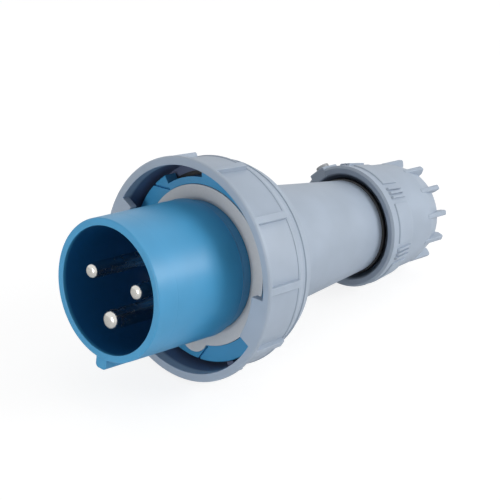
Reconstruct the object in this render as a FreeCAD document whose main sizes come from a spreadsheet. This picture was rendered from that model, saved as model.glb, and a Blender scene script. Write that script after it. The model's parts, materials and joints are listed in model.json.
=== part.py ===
"""Industrial pin and sleeve plug: two poles and earth, 63 A, with a bayonet locking ring."""
import FreeCAD, Part
import math
import os
import re

import Sketcher
from FreeCAD import Placement, Rotation, Vector

# Every sub-part is drawn about the plug's axis: Z runs back from the shroud's front rim,
# X points away from the key, and angles run from X towards Y. Lengths are millimetres and
# angles are degrees. A size that ends in _r is a radius, and one that ends in _at is a
# distance back from the rim.
SIZES = (
    ("shroud_r", 35.5, "outside of the shroud tube"),
    ("shroud_wall", 3.8, "wall of the shroud tube"),
    ("shroud_round", 0.9, "rounding of the shroud's rim"),
    ("neck_at", 57.5, "where the shroud narrows before the flange"),
    ("neck_depth", 1.8, "neck below the shroud"),
    ("neck_slope", 1, "slope down to the neck"),
    ("key_width", 7.3, "key rib along the bottom of the shroud"),
    ("key_height", 5.4, "key rib beyond the shroud"),
    ("key_round", 2.2, "rounding of the key's crest"),
    ("floor_at", 59, "front of the contact floor"),
    ("floor_thick", 11, "contact floor"),
    ("flange_at", 65.3, "front face of the flange"),
    ("flange_thick", 7.5, "flange"),
    ("flange_r", 50.2, "edge of the flange"),
    ("notch_gap", 0.6, "bottom of the flange's notches below the lugs"),
    ("pass_width", 34, "angle of each of the two notches that let the lugs past"),
    ("pass_angle", 58, "middle of the first of those notches"),
    ("window_width", 31.5, "angle of the third notch, which shows the washer"),
    ("window_angle", 335.5, "middle of the third notch"),
    ("spigot_r", 37, "spigot that enters the grip"),
    ("spigot_length", 12, "spigot behind the flange"),
    ("spigot_wall", 4, "wall of the spigot"),
    ("gasket_width", 6.1, "face gasket beyond the shroud"),
    ("gasket_thick", 2.5, "face gasket"),
    ("gasket_proud", 0.5, "gasket in front of the flange"),
    ("gasket_gap", 0.15, "gasket in its recess"),
    ("lobe_r", 9.8, "gasket's lobe round the key"),
    ("lobe_out", 1.8, "centre of the lobe beyond the shroud"),
    ("pin_circle_r", 16.2, "circle of the three pins"),
    ("phase_angle", 75.5, "line and neutral pins, each side of the top"),
    ("phase_pin_r", 4, "line and neutral pins"),
    ("earth_pin_r", 5, "earth pin"),
    ("pin_tip_at", 2.4, "tips of the pins, behind the rim"),
    ("pin_dome", 0.5, "rounding of a pin's tip, as a share of its radius"),
    ("pin_root_over", 0.5, "root of a pin beyond the pin, where it meets the floor"),
    ("pin_root_lead", 0.5, "root of a pin in front of the floor"),
    ("pin_gap", 0.1, "pin in its hole in the floor"),
    ("collar_over", 3.5, "collar beyond the pin"),
    ("collar_thick", 4, "collar of a pin"),
    ("sleeve_over", 2.2, "terminal sleeve beyond the pin"),
    ("sleeve_end_at", 100, "open end of the terminal sleeves"),
    ("sleeve_wall", 2, "wall of a terminal sleeve"),
    ("wire_depth", 22, "depth of the wire's bore"),
    ("seal_section_r", 0.9, "section of a pin's O-ring"),
    ("terminal_screw_r", 2.5, "clamping screws of the terminals"),
    ("terminal_proud", 1.2, "clamping screw outside its sleeve"),
    ("terminal_first_at", 84, "front clamping screw"),
    ("terminal_spacing", 9, "between the two clamping screws of a pin"),
    ("retainer_gap", 0.3, "retainer plate in the spigot, and pins in the plate"),
    ("retainer_thick", 7, "retainer plate"),
    ("small_screw_r", 1.5, "screws of the retainer plate"),
    ("small_head_r", 2.9, "heads of those screws"),
    ("small_head", 2.2, "height of those heads"),
    ("small_grip", 5, "thread of those screws in the floor"),
    ("small_circle_r", 15, "circle of those screws"),
    ("long_screw_r", 2, "screws from the floor to the grip"),
    ("long_head_r", 3.6, "heads of those screws"),
    ("long_head", 3.4, "height of those heads"),
    ("long_circle_r", 26.5, "circle of those screws"),
    ("long_end_at", 99, "ends of those screws"),
    ("screw_gap", 0.05, "screw in its thread"),
    ("screw_pass", 0.4, "screw through a plain hole"),
    ("screw_angle", 120, "second screw of each three"),
    ("slot_width", 0.9, "slot of a screw"),
    ("slot_depth", 1, "slot of a screw"),
    ("boss_wall", 2.6, "bosses inside the grip for those screws"),
    ("boss_width", 20, "angle of a boss"),
    ("boss_at", 88, "front of the bosses"),
    ("ring_at", 52, "front face of the locking ring"),
    ("flange_gap", 2.1, "inside of the ring round the flange"),
    ("ring_draft", 0.9, "taper of the ring from its front to its web"),
    ("lip_width", 2.4, "lip at the front of the ring"),
    ("panel_wall", 2.1, "wall of the ring behind the sunk panels"),
    ("lip_height", 2.3, "lip and ribs beyond the sunk panels"),
    ("panel_end_at", 77, "rear edge of the sunk panels"),
    ("band_bead", 0.3, "bead behind the panels"),
    ("band_width", 1.6, "bead behind the panels"),
    ("ring_end_at", 92.3, "rear edge of the ring"),
    ("ring_drop", 5, "rear edge of the ring inside the panels"),
    ("ring_wall", 3.2, "wall of the ring's rear skirt"),
    ("rib_count", 10, "grip ribs on the ring"),
    ("rib_width", 4.6, "angle of a grip rib"),
    ("rib_angle", 10.5, "middle of the first grip rib"),
    ("web_thick", 4, "web that the flange pulls on"),
    ("turn_gap", 0.3, "running gap between the ring and its neighbours"),
    ("lug_r", 46, "crest of the two bayonet lugs"),
    ("lug_thick", 4.4, "bayonet lugs"),
    ("lug_width", 28.8, "angle of a bayonet lug"),
    ("lug_angle", 101.7, "middle of the first lug"),
    ("stop_width", 5, "angle of a stop"),
    ("stop_at", 66.8, "front of the stops"),
    ("stop_length", 5, "length of the stops"),
    ("stop_angle", 98, "middle of the flange's stop"),
    ("stop_gap", 0.5, "stop past its neighbours, and angle left at the end of the turn"),
    ("unlock_turn", 13, "turn back from here to the open stop"),
    ("lock_turn", 47, "turn on from here to the locked stop"),
    ("washer_thick", 1.2, "friction washer between flange and web"),
    ("washer_width", 6.9, "friction washer across"),
    ("fit_gap", 0.2, "fixed pieces that slip over each other"),
    ("o_ring_r", 1.25, "section of the housing's O-ring"),
    ("o_ring_gap", 0.03, "that O-ring to its two seats"),
    ("shoulder_r", 43.3, "shoulder of the grip behind the ring's web"),
    ("shoulder_round", 3, "rear rounding of that shoulder"),
    ("shoulder_length", 6, "shoulder of the grip"),
    ("grip_wall", 3.2, "wall of the grip"),
    ("waist_r", 33.85, "grip where the flare ends"),
    ("waist_at", 104, "where the flare ends"),
    ("flare_round", 60, "hollow of the flare"),
    ("tail_r", 25.75, "rear end of the grip"),
    ("tail_at", 182, "where the grip stops tapering"),
    ("tail_end_at", 204.5, "rear end of the grip"),
    ("cage_seat_at", 194.5, "step inside the tail that the cage stands on"),
    ("seat_land", 8, "length of that step"),
    ("seat_slope", 6, "slope in front of that step"),
    ("cage_wall", 3.1, "wall of the gland's cage"),
    ("tail_wall", 2.9, "wall of the tail round the cage"),
    ("cage_base", 12, "closed part of the cage"),
    ("cage_length", 28, "the whole cage"),
    ("cage_tip_r", 20.8, "outside of the cage's finger tips"),
    ("cage_lip", 2, "lip that holds the grommet"),
    ("finger_slot", 1.6, "slots between the fingers"),
    ("finger_count", 12, "fingers of the cage"),
    ("cable_r", 13, "bore of the grommet"),
    ("grommet_length", 28, "grommet"),
    ("cap_seal_length", 5.2, "lip ring at the cap's mouth"),
    ("cap_seal_lead", 1.8, "lip ring in front of the cap"),
    ("cap_seal_depth", 0.9, "groove that holds the lip ring"),
    ("cap_at", 179.2, "front rim of the gland cap"),
    ("cap_r", 34.2, "front rim of the gland cap"),
    ("cap_mouth_width", 3.85, "mouth of the gland cap round the tail"),
    ("cap_mouth_ease", 1.2, "bevel of the mouth's edge"),
    ("cap_mouth_depth", 5.5, "depth of the mouth"),
    ("cap_mouth_slope", 2, "slope at the bottom of the mouth"),
    ("cap_thread_gap", 0.5, "cap over the tail"),
    ("cap_thread_end_at", 209.5, "rear end of the threaded bore"),
    ("cap_thread_slope", 1.5, "slope behind the thread"),
    ("cap_step_at", 200.6, "step between the cap's front and rear zones"),
    ("cap_step_slope", 0.6, "slope of that step"),
    ("cap_step_r", 31.7, "front zone at that step"),
    ("cap_rear_r", 31.2, "rear zone at that step"),
    ("cap_turn_at", 220.5, "where the rear zone turns in"),
    ("cap_turn_r", 29.4, "rear zone where it turns in"),
    ("cap_end_at", 232, "rear face of the cap"),
    ("cap_end_r", 25.4, "edge of the rear face"),
    ("cap_end_round", 2, "rounding of that edge"),
    ("cap_round", 7, "rounding between the two"),
    ("cap_wall", 4.4, "rear wall of the cap"),
    ("cap_cone_front_r", 23.5, "cone inside the cap, front"),
    ("cap_cone_rear_r", 20.6, "cone inside the cap, rear"),
    ("cable_hole_r", 17, "cable's way out of the cap"),
    ("thrust_thick", 2.3, "thrust washer"),
    ("thrust_bore_r", 14.8, "bore of the thrust washer"),
    ("thrust_gap", 0.1, "thrust washer to the cap's rear wall"),
    ("pad_count", 6, "grip pads round the cap"),
    ("pad_angle", 41.2, "middle of the first grip pad"),
    ("pad_pitch", 4.8, "angle between the ridges of a pad"),
    ("ridge_width", 2.4, "angle of a ridge"),
    ("ridge_height", 0.8, "height of a ridge"),
    ("ridge_at", 185.2, "front end of the ridges"),
    ("ridge_length", 13.5, "length of the ridges"),
    ("tile_width", 34, "angle of the plain raised tiles between the pads"),
    ("tile_height", 0.4, "height of those tiles"),
    ("fin_count", 12, "fins on the cap's rear shoulder"),
    ("fin_thick", 2.9, "fins"),
    ("fin_at", 217.5, "front end of the fins"),
    ("fin_front_r", 29.9, "crest of a fin at its front end"),
    ("fin_r", 29.8, "crest of a fin at its rear end"),
    ("fin_root_r", 23.6, "root of a fin"),
    ("fin_end_at", 235, "rear end of the fins"),
    ("fin_round", 1.4, "rounding of a fin's rear corner"),
    ("fin_heel", 2, "inner rear corner of a fin beyond its root"),
    ("lock_angle", 314.3, "the lock screw"),
    ("lock_at", 186.2, "the lock screw"),
    ("lock_boss_r", 35.5, "flat top of the screw's boss"),
    ("lock_boss_round", 0.8, "edges of the screw's boss"),
    ("lock_boss_width", 11.2, "boss of the lock screw"),
    ("lock_boss_length", 12.5, "boss of the lock screw"),
    ("lock_screw_r", 2.4, "shank of the lock screw"),
    ("lock_head_r", 3.7, "head of the lock screw"),
    ("lock_head", 2.3, "height of that head"),
    ("lock_slot", 1.2, "slot of that head, both width and depth"),
    ("lock_tip_gap", 0.4, "tip of the lock screw above the tail"),
    ("lock_slot_angle", 40, "how the lock screw was left turned"),
    ("insert_r", 3.7, "brass insert under the lock screw"),
    ("insert_length", 4, "brass insert under the lock screw"),
    ("lying_roll", -0.7, "plug's roll as it lies, below nought with the key towards minus X"),
    ("fine_round", 0.4, "finest roundings and bevels"),
    ("edge_round", 0.6, "usual roundings of edges"),
    ("soft_round", 1.2, "roundings of rubber and of thick edges"),
    ("over", 1, "how far a cut runs past a face, and a joined form into its neighbour"),
)
ALIASES = {alias for alias, number, note in SIZES}

doc = FreeCAD.newDocument("Plug")
sheet = doc.addObject("Spreadsheet::Sheet", "Sizes")
for row, (alias, number, note) in enumerate(SIZES, start=1):
    sheet.set("A%d" % row, note)
    sheet.set("B%d" % row, str(number))
    sheet.setAlias("B%d" % row, alias)
doc.recompute()


def bound(text):
    """Writes an expression over the sheet from one in plain size names."""
    return re.sub(r"[a-z_]+", lambda word: "Sizes." + word[0] if word[0] in ALIASES else word[0], text)


def value(text):
    """The number that an expression in plain size names stands for."""
    return float(sheet.evalExpression(bound(text)))


# Sketches and features

def new_body(name):
    body = doc.addObject("PartDesign::Body", name)
    body.Label = name
    return body


def new_sketch(body, name, role, turn="", lift=""):
    """A sketch on one of the body's origin planes, turned about the axis or lifted along it."""
    sketch = body.newObject("Sketcher::SketchObject", name)
    plane = [feature for feature in body.Origin.OriginFeatures if feature.Role == role][0]
    sketch.AttachmentSupport = [(plane, "")]
    sketch.MapMode = "FlatFace"
    spin = Vector(0, 0, 1) if role == "XY_Plane" else Vector(0, 1, 0)
    angle = value(turn) if turn else 0
    height = value(lift) if lift else 0
    sketch.AttachmentOffset = Placement(Vector(0, 0, height), Rotation(spin, angle))
    if turn:
        sketch.setExpression("AttachmentOffset.Rotation.Angle", bound(turn))
    if lift:
        sketch.setExpression("AttachmentOffset.Base.z", bound(lift))
    return sketch


def pin_down(sketch, geometry, position, across, along):
    """Fixes a point of the sketch at two distances from its origin."""
    for kind, text in (("DistanceX", across), ("DistanceY", along)):
        if value(text) < 0:
            ends = (geometry, position, -1, 1)
            text = "-(%s)" % text
        else:
            ends = (-1, 1, geometry, position)
        index = sketch.addConstraint(Sketcher.Constraint(kind, *ends, value(text)))
        sketch.setExpression("Constraints[%d]" % index, bound(text))


def outline(sketch, corners):
    """A closed outline through corners (across, along) or (across, along, rounding)."""
    points = [Vector(value(corner[0]), value(corner[1]), 0) for corner in corners]
    count = len(points)
    arrive, leave, arcs = [], [], {}
    for index, point in enumerate(points):
        before = (points[index - 1] - point).normalize()
        after = (points[(index + 1) % count] - point).normalize()
        radius = value(corners[index][2]) if len(corners[index]) > 2 else 0
        half = before.getAngle(after) / 2
        reach = radius / math.tan(half)
        arrive.append(point + before * reach)
        leave.append(point + after * reach)
        if radius:
            centre = point + (before + after).normalize() * (radius / math.sin(half))
            left_turn = before.cross(after).z < 0
            arcs[index] = (centre, radius, left_turn)
    lines = []
    for index in range(count):
        line = Part.LineSegment(leave[index], arrive[(index + 1) % count])
        lines.append(sketch.addGeometry(line))
    for index, corner in enumerate(corners):
        into, out = lines[index - 1], lines[index]
        if index not in arcs:
            sketch.addConstraint(Sketcher.Constraint("Coincident", into, 2, out, 1))
            pin_down(sketch, out, 1, corner[0], corner[1])
            continue
        centre, radius, left_turn = arcs[index]
        first, last = (arrive, leave) if left_turn else (leave, arrive)
        turns = [math.atan2(end[index].y - centre.y, end[index].x - centre.x) for end in (first, last)]
        if turns[1] < turns[0]:
            turns[1] += 2 * math.pi
        circle = Part.Circle(centre, Vector(0, 0, 1), radius)
        arc = sketch.addGeometry(Part.ArcOfCircle(circle, *turns))
        enter, leave_by = (1, 2) if left_turn else (2, 1)
        tip = sketch.addGeometry(Part.Point(points[index]), True)
        pin_down(sketch, tip, 1, corner[0], corner[1])
        sketch.addConstraint([
            Sketcher.Constraint("Tangent", into, 2, arc, enter),
            Sketcher.Constraint("Tangent", arc, leave_by, out, 1),
            Sketcher.Constraint("PointOnObject", tip, 1, into),
            Sketcher.Constraint("PointOnObject", tip, 1, out),
        ])
        bend = sketch.addConstraint(Sketcher.Constraint("Radius", arc, radius))
        sketch.setExpression("Constraints[%d]" % bend, bound(corner[2]))


def circle(sketch, radius, across="0", along="0"):
    """A circle with its centre pinned down and its radius bound."""
    centre = Vector(value(across), value(along), 0)
    index = sketch.addGeometry(Part.Circle(centre, Vector(0, 0, 1), value(radius)))
    pin_down(sketch, index, 3, across, along)
    size = sketch.addConstraint(Sketcher.Constraint("Radius", index, value(radius)))
    sketch.setExpression("Constraints[%d]" % size, bound(radius))


def turned(body, name, corners, cut=False, width="", turn=""):
    """Turns an outline (radius, distance back) about the axis, all round or through a width."""
    sketch = new_sketch(body, name + "_outline", "XZ_Plane", turn=turn)
    outline(sketch, corners)
    feature = body.newObject("PartDesign::Groove" if cut else "PartDesign::Revolution", name)
    feature.Profile = sketch
    feature.ReferenceAxis = (sketch, ["V_Axis"])
    feature.Angle = 360
    if width:
        feature.Midplane = True
        feature.setExpression("Angle", bound(width))
    return feature


def raised(body, name, sketch, length, both_ways=False):
    """Pads a sketch back along the axis, or to both sides of its plane."""
    feature = body.newObject("PartDesign::Pad", name)
    feature.Profile = sketch
    if both_ways:
        feature.SideType = "Symmetric"
    feature.setExpression("Length", bound(length))
    return feature


def sunk(body, name, sketch, length):
    """Cuts a sketch back along the axis, or outwards from it."""
    feature = body.newObject("PartDesign::Pocket", name)
    feature.Profile = sketch
    feature.Reversed = True
    feature.setExpression("Length", bound(length))
    return feature


def round_hole(body, name, radius, across, turn, start, length):
    """A round hole along the axis, at a distance and an angle from it."""
    sketch = new_sketch(body, name + "_circle", "XY_Plane", turn=turn, lift=start)
    circle(sketch, radius, across)
    return sunk(body, name, sketch, length)


def round_post(body, name, radius, across, turn, start, length):
    """A round post along the axis, at a distance and an angle from it."""
    sketch = new_sketch(body, name + "_circle", "XY_Plane", turn=turn, lift=start)
    circle(sketch, radius, across)
    return raised(body, name, sketch, length)


def box_outline(sketch, low, high, half_width):
    """A rectangle from low to high, as wide each side of the sketch's own axis."""
    outline(sketch, (
        (low, "-(%s)" % half_width),
        (high, "-(%s)" % half_width),
        (high, half_width),
        (low, half_width),
    ))


def repeated(body, name, features, count):
    """Repeats features all round the axis and makes the result the body's tip."""
    pattern = body.newObject("PartDesign::PolarPattern", name)
    pattern.Originals = features
    axis = [feature for feature in body.Origin.OriginFeatures if feature.Role == "Z_Axis"][0]
    pattern.Axis = (axis, [""])
    pattern.Angle = 360
    pattern.setExpression("Occurrences", bound(count))
    body.Tip = pattern
    return pattern


# Names for places that several sub-parts share

PINS = (
    ("line_pin", "phase_pin_r", "360 - phase_angle"),
    ("neutral_pin", "phase_pin_r", "phase_angle"),
    ("earth_pin", "earth_pin_r", "180"),
)
NECK_R = "shroud_r - neck_depth"
KEY_R = "shroud_r + key_height"
LOBE_CENTRE_R = "shroud_r + lobe_out"
GASKET_R = "shroud_r + gasket_width"
NOTCH_R = "lug_r - notch_gap"
FLOOR_BACK = "floor_at + floor_thick"
FLANGE_BACK = "flange_at + flange_thick"
SPIGOT_END = "flange_at + flange_thick + spigot_length"
SPIGOT_BORE = "spigot_r - spigot_wall"
GASKET_AT = "flange_at - gasket_proud"
GASKET_BACK = "flange_at - gasket_proud + gasket_thick"
WEB_AT = "flange_at + flange_thick + washer_thick + turn_gap"
WEB_BACK = "flange_at + flange_thick + washer_thick + turn_gap + web_thick"
SHOULDER_AT = "flange_at + flange_thick + washer_thick + 2 * turn_gap + web_thick"
SLEEVE_BORE = "spigot_r + fit_gap"
SLEEVE_R = "spigot_r + fit_gap + grip_wall"
WEB_BORE = "spigot_r + fit_gap + grip_wall + turn_gap"
RING_BORE = "flange_r + flange_gap"
RING_MOUTH = "flange_r + flange_gap + ring_draft"
PANEL_REAR_R = "flange_r + flange_gap + panel_wall"
PANEL_FRONT_R = "flange_r + flange_gap + panel_wall + ring_draft"
RIB_REAR_R = "flange_r + flange_gap + panel_wall + lip_height"
LIP_R = "flange_r + flange_gap + panel_wall + ring_draft + lip_height"
RING_END_R = "flange_r + flange_gap + panel_wall - ring_drop"
O_RING_AT = "flange_at + flange_thick + spigot_length / 2"
O_RING_SEAT = "spigot_r + fit_gap - 2 * (o_ring_r + o_ring_gap)"
TAIL_BORE = "tail_r - tail_wall"
CAGE_R = "tail_r - tail_wall - fit_gap"
CAGE_BORE = "tail_r - tail_wall - fit_gap - cage_wall"
CAP_MOUTH_R = "tail_r + cap_mouth_width"
CAP_INSIDE_AT = "cap_end_at - cap_wall"
CAP_SEAL_AT = "cap_at - cap_seal_lead"
CAP_SEAL_SEAT = "tail_r - cap_seal_depth"


# The blue front moulding

def key_outline(sketch, gap=""):
    """The section of the key rib, from inside the neck's wall out to its rounded crest."""
    half_width = "key_width / 2" + gap
    outline(sketch, (
        (NECK_R + " - over", "-(%s)" % half_width),
        (KEY_R + gap, "-(%s)" % half_width, "key_round"),
        (KEY_R + gap, half_width, "key_round"),
        (NECK_R + " - over", half_width),
    ))


def front_shroud():
    body = new_body("front_shroud")
    turned(body, "tube_and_flange", (
        ("shroud_r - shroud_wall", "0", "shroud_round / 2"),
        ("shroud_r", "0", "shroud_round"),
        ("shroud_r", "neck_at"),
        (NECK_R, "neck_at + neck_slope"),
        (NECK_R, "flange_at"),
        ("flange_r - edge_round", "flange_at"),
        ("flange_r", "flange_at + edge_round"),
        ("flange_r", FLANGE_BACK + " - fine_round"),
        ("flange_r - fine_round", FLANGE_BACK),
        ("spigot_r", FLANGE_BACK),
        ("spigot_r", SPIGOT_END + " - soft_round"),
        ("spigot_r - edge_round", SPIGOT_END),
        (SPIGOT_BORE, SPIGOT_END),
        (SPIGOT_BORE, FLOOR_BACK),
        ("0", FLOOR_BACK),
        ("0", "floor_at"),
        ("shroud_r - shroud_wall", "floor_at"),
    ))
    key = new_sketch(body, "key_outline", "XY_Plane", turn="180", lift="shroud_round / 2")
    key_outline(key)
    raised(body, "key", key, "flange_at + gasket_thick - shroud_round / 2")
    turned(body, "stop", (
        ("flange_r - over", "stop_at"),
        (RING_BORE + " - stop_gap", "stop_at"),
        (RING_BORE + " - stop_gap", "stop_at + stop_length"),
        ("flange_r - over", "stop_at + stop_length"),
    ), width="stop_width", turn="stop_angle")
    notches = (
        ("first_pass", "pass_angle", "pass_width"),
        ("second_pass", "pass_angle + 180", "pass_width"),
        ("window", "window_angle", "window_width"),
    )
    for name, turn, width in notches:
        turned(body, name, (
            (NOTCH_R, "flange_at - over"),
            ("flange_r + over", "flange_at - over"),
            ("flange_r + over", FLANGE_BACK + " + over"),
            (NOTCH_R, FLANGE_BACK + " + over"),
        ), cut=True, width=width, turn=turn)
    gasket_recess(body)
    turned(body, "o_ring_groove", (
        (O_RING_SEAT, O_RING_AT + " - o_ring_r - fit_gap"),
        ("spigot_r + over", O_RING_AT + " - o_ring_r - fit_gap"),
        ("spigot_r + over", O_RING_AT + " + o_ring_r + fit_gap"),
        (O_RING_SEAT, O_RING_AT + " + o_ring_r + fit_gap"),
    ), cut=True)
    for pin, radius, angle in PINS:
        hole_r = radius + " + pin_root_over + pin_gap"
        seal_r = radius + " + pin_root_over + 2 * seal_section_r + pin_gap"
        collar_r = radius + " + collar_over + fit_gap"
        collar_at = FLOOR_BACK + " - collar_thick"
        seal_at = collar_at + " - 2 * seal_section_r"
        round_hole(body, pin + "_hole", hole_r, "pin_circle_r", angle, "floor_at - over",
                   "floor_thick + 2 * over")
        round_hole(body, pin + "_seal_seat", seal_r, "pin_circle_r", angle, seal_at, "floor_thick")
        round_hole(body, pin + "_collar_seat", collar_r, "pin_circle_r", angle, collar_at, "floor_thick")
    small = round_hole(body, "small_screw_hole", "small_screw_r + screw_gap", "small_circle_r", "screw_angle",
                       FLOOR_BACK + " - small_grip - over", "small_grip + 2 * over")
    long = round_hole(body, "long_screw_hole", "long_screw_r + screw_pass", "long_circle_r", "screw_angle",
                      "floor_at - over", "floor_thick + 2 * over")
    seat = round_hole(body, "long_head_seat", "long_head_r + screw_pass", "long_circle_r", "screw_angle",
                      "floor_at - over", "long_head + screw_pass + over")
    repeated(body, "screw_holes", [small, long, seat], "3")
    return body


def gasket_recess(body):
    """Sinks the gasket's seat into the flange, but leaves the shroud and its key standing."""
    turned(body, "gasket_seat", (
        (NECK_R, GASKET_AT),
        (GASKET_R + " + gasket_gap", GASKET_AT),
        (GASKET_R + " + gasket_gap", GASKET_BACK),
        (NECK_R, GASKET_BACK),
    ), cut=True)
    lobe = new_sketch(body, "lobe_seat_outline", "XY_Plane", turn="180", lift=GASKET_AT)
    circle(lobe, "lobe_r + gasket_gap", LOBE_CENTRE_R)
    sunk(body, "lobe_seat", lobe, "gasket_thick")
    round_post(body, "shroud_foot", NECK_R, "0", "", GASKET_AT + " - over", "gasket_thick + 2 * over")
    foot = new_sketch(body, "key_foot_outline", "XY_Plane", turn="180", lift=GASKET_AT + " - over")
    key_outline(foot)
    raised(body, "key_foot", foot, "gasket_thick + 2 * over")


def face_gasket():
    body = new_body("face_gasket")
    round_post(body, "disc", GASKET_R, "0", "", GASKET_AT, "gasket_thick")
    round_post(body, "lobe", "lobe_r", LOBE_CENTRE_R, "180", GASKET_AT, "gasket_thick")
    round_hole(body, "bore", NECK_R + " + gasket_gap", "0", "",
               GASKET_AT + " - over", "gasket_thick + 2 * over")
    slot = new_sketch(body, "key_slot_outline", "XY_Plane", turn="180", lift=GASKET_AT + " - over")
    key_outline(slot, " + gasket_gap")
    sunk(body, "key_slot", slot, "gasket_thick + 2 * over")
    return body


# Contacts, their seals and what holds them

def contact_pin(name, radius):
    """A pin on its own axis, with its terminal screws' side along X."""
    body = new_body(name)
    collar_at = FLOOR_BACK + " - collar_thick"
    turned(body, "pin", (
        ("0", "pin_tip_at"),
        (radius, "pin_tip_at", radius + " * pin_dome"),
        (radius, "floor_at - pin_root_lead"),
        (radius + " + pin_root_over", "floor_at - pin_root_lead + pin_root_over"),
        (radius + " + pin_root_over", collar_at),
        (radius + " + collar_over", collar_at, "fine_round"),
        (radius + " + collar_over", FLOOR_BACK),
        (radius + " + sleeve_over", FLOOR_BACK),
        (radius + " + sleeve_over", "sleeve_end_at", "fine_round"),
        (radius + " + sleeve_over - sleeve_wall", "sleeve_end_at"),
        (radius + " + sleeve_over - sleeve_wall", "sleeve_end_at - wire_depth"),
        ("0", "sleeve_end_at - wire_depth"),
    ))
    for name, place in (("front", "terminal_first_at"), ("rear", "terminal_first_at + terminal_spacing")):
        hole = new_sketch(body, name + "_screw_hole_circle", "YZ_Plane")
        circle(hole, "terminal_screw_r + screw_gap", "0", place)
        sunk(body, name + "_screw_hole", hole, radius + " + sleeve_over + over")
    return body


def pin_seals():
    """Three O-rings, each pressed between the floor and a pin's collar."""
    rings = []
    for pin, radius, angle in PINS:
        ring = doc.addObject("Part::Torus", pin + "_seal")
        ring.setExpression("Radius1", bound(radius + " + pin_root_over + seal_section_r"))
        ring.setExpression("Radius2", bound("seal_section_r - pin_gap"))
        turn = value(angle)
        back = value(FLOOR_BACK + " - collar_thick - seal_section_r")
        ring.Placement = Placement(Vector(0, 0, 0), Rotation(Vector(0, 0, 1), turn)) * Placement(
            Vector(value("pin_circle_r"), 0, back), Rotation())
        rings.append(ring)
    group = doc.addObject("Part::Compound", "pin_seals")
    group.Links = rings
    return group


def pin_retainer():
    body = new_body("pin_retainer")
    round_post(body, "plate", SPIGOT_BORE + " - retainer_gap", "0", "", FLOOR_BACK, "retainer_thick")
    for pin, radius, angle in PINS:
        round_hole(body, pin + "_hole", radius + " + sleeve_over + retainer_gap", "pin_circle_r", angle,
                   FLOOR_BACK + " - over", "retainer_thick + 2 * over")
    small = round_hole(body, "small_screw_hole", "small_screw_r + screw_pass", "small_circle_r",
                       "screw_angle", FLOOR_BACK + " - over", "retainer_thick + 2 * over")
    long = round_hole(body, "long_screw_hole", "long_screw_r + screw_pass", "long_circle_r", "screw_angle",
                      FLOOR_BACK + " - over", "retainer_thick + 2 * over")
    repeated(body, "screw_holes", [small, long], "3")
    return body


def slotted_screws(name, circle_r, head_r, shank_r, head_at, head, shank, facing_back):
    """Three cheese-head screws round the axis, whose heads face the front or the back."""
    body = new_body(name)
    slot_start = head_at
    shank_at = head_at + " + " + head
    if facing_back:
        slot_start = head_at + " + " + head + " - slot_depth"
        shank_at = head_at + " - (" + shank + ")"
    top = round_post(body, "head", head_r, circle_r, "screw_angle", head_at, head)
    stem = round_post(body, "shank", shank_r, circle_r, "screw_angle", shank_at, shank)
    sketch = new_sketch(body, "slot_outline", "XY_Plane", turn="screw_angle", lift=slot_start)
    box_outline(sketch, circle_r + " - " + head_r, circle_r + " + " + head_r, "slot_width / 2")
    slot = sunk(body, "slot", sketch, "slot_depth")
    repeated(body, "all_three", [top, stem, slot], "3")
    return body


def terminal_screws():
    """Two slotted clamping screws in each terminal sleeve, on the side away from the axis."""
    screws = []
    for pin, radius, angle in PINS:
        inner = "pin_circle_r + " + radius + " + sleeve_over - sleeve_wall"
        length = "sleeve_wall + terminal_proud"
        for place in ("terminal_first_at", "terminal_first_at + terminal_spacing"):
            spin = Placement(Vector(0, 0, 0), Rotation(Vector(0, 0, 1), value(angle)))
            stand = Placement(Vector(value(inner), 0, value(place)), Rotation(Vector(0, 1, 0), 90))
            stud = doc.addObject("Part::Cylinder", pin + "_clamp")
            stud.setExpression("Radius", bound("terminal_screw_r"))
            stud.setExpression("Height", bound(length))
            slot = doc.addObject("Part::Box", pin + "_clamp_slot")
            slot.setExpression("Length", bound("slot_width"))
            slot.setExpression("Width", bound("4 * terminal_screw_r"))
            slot.setExpression("Height", bound("2 * slot_depth"))
            slot_at = value(length + " - slot_depth")
            corner = Vector(value("-slot_width / 2"), value("-2 * terminal_screw_r"), slot_at)
            slot.Placement = Placement(corner, Rotation())
            screw = doc.addObject("Part::Cut", pin + "_clamp_screw")
            screw.Base = stud
            screw.Tool = slot
            screw.Placement = spin * stand
            screws.append(screw)
    group = doc.addObject("Part::Compound", "terminal_screws")
    group.Links = screws
    return group


# The bayonet ring and what it runs on

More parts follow.
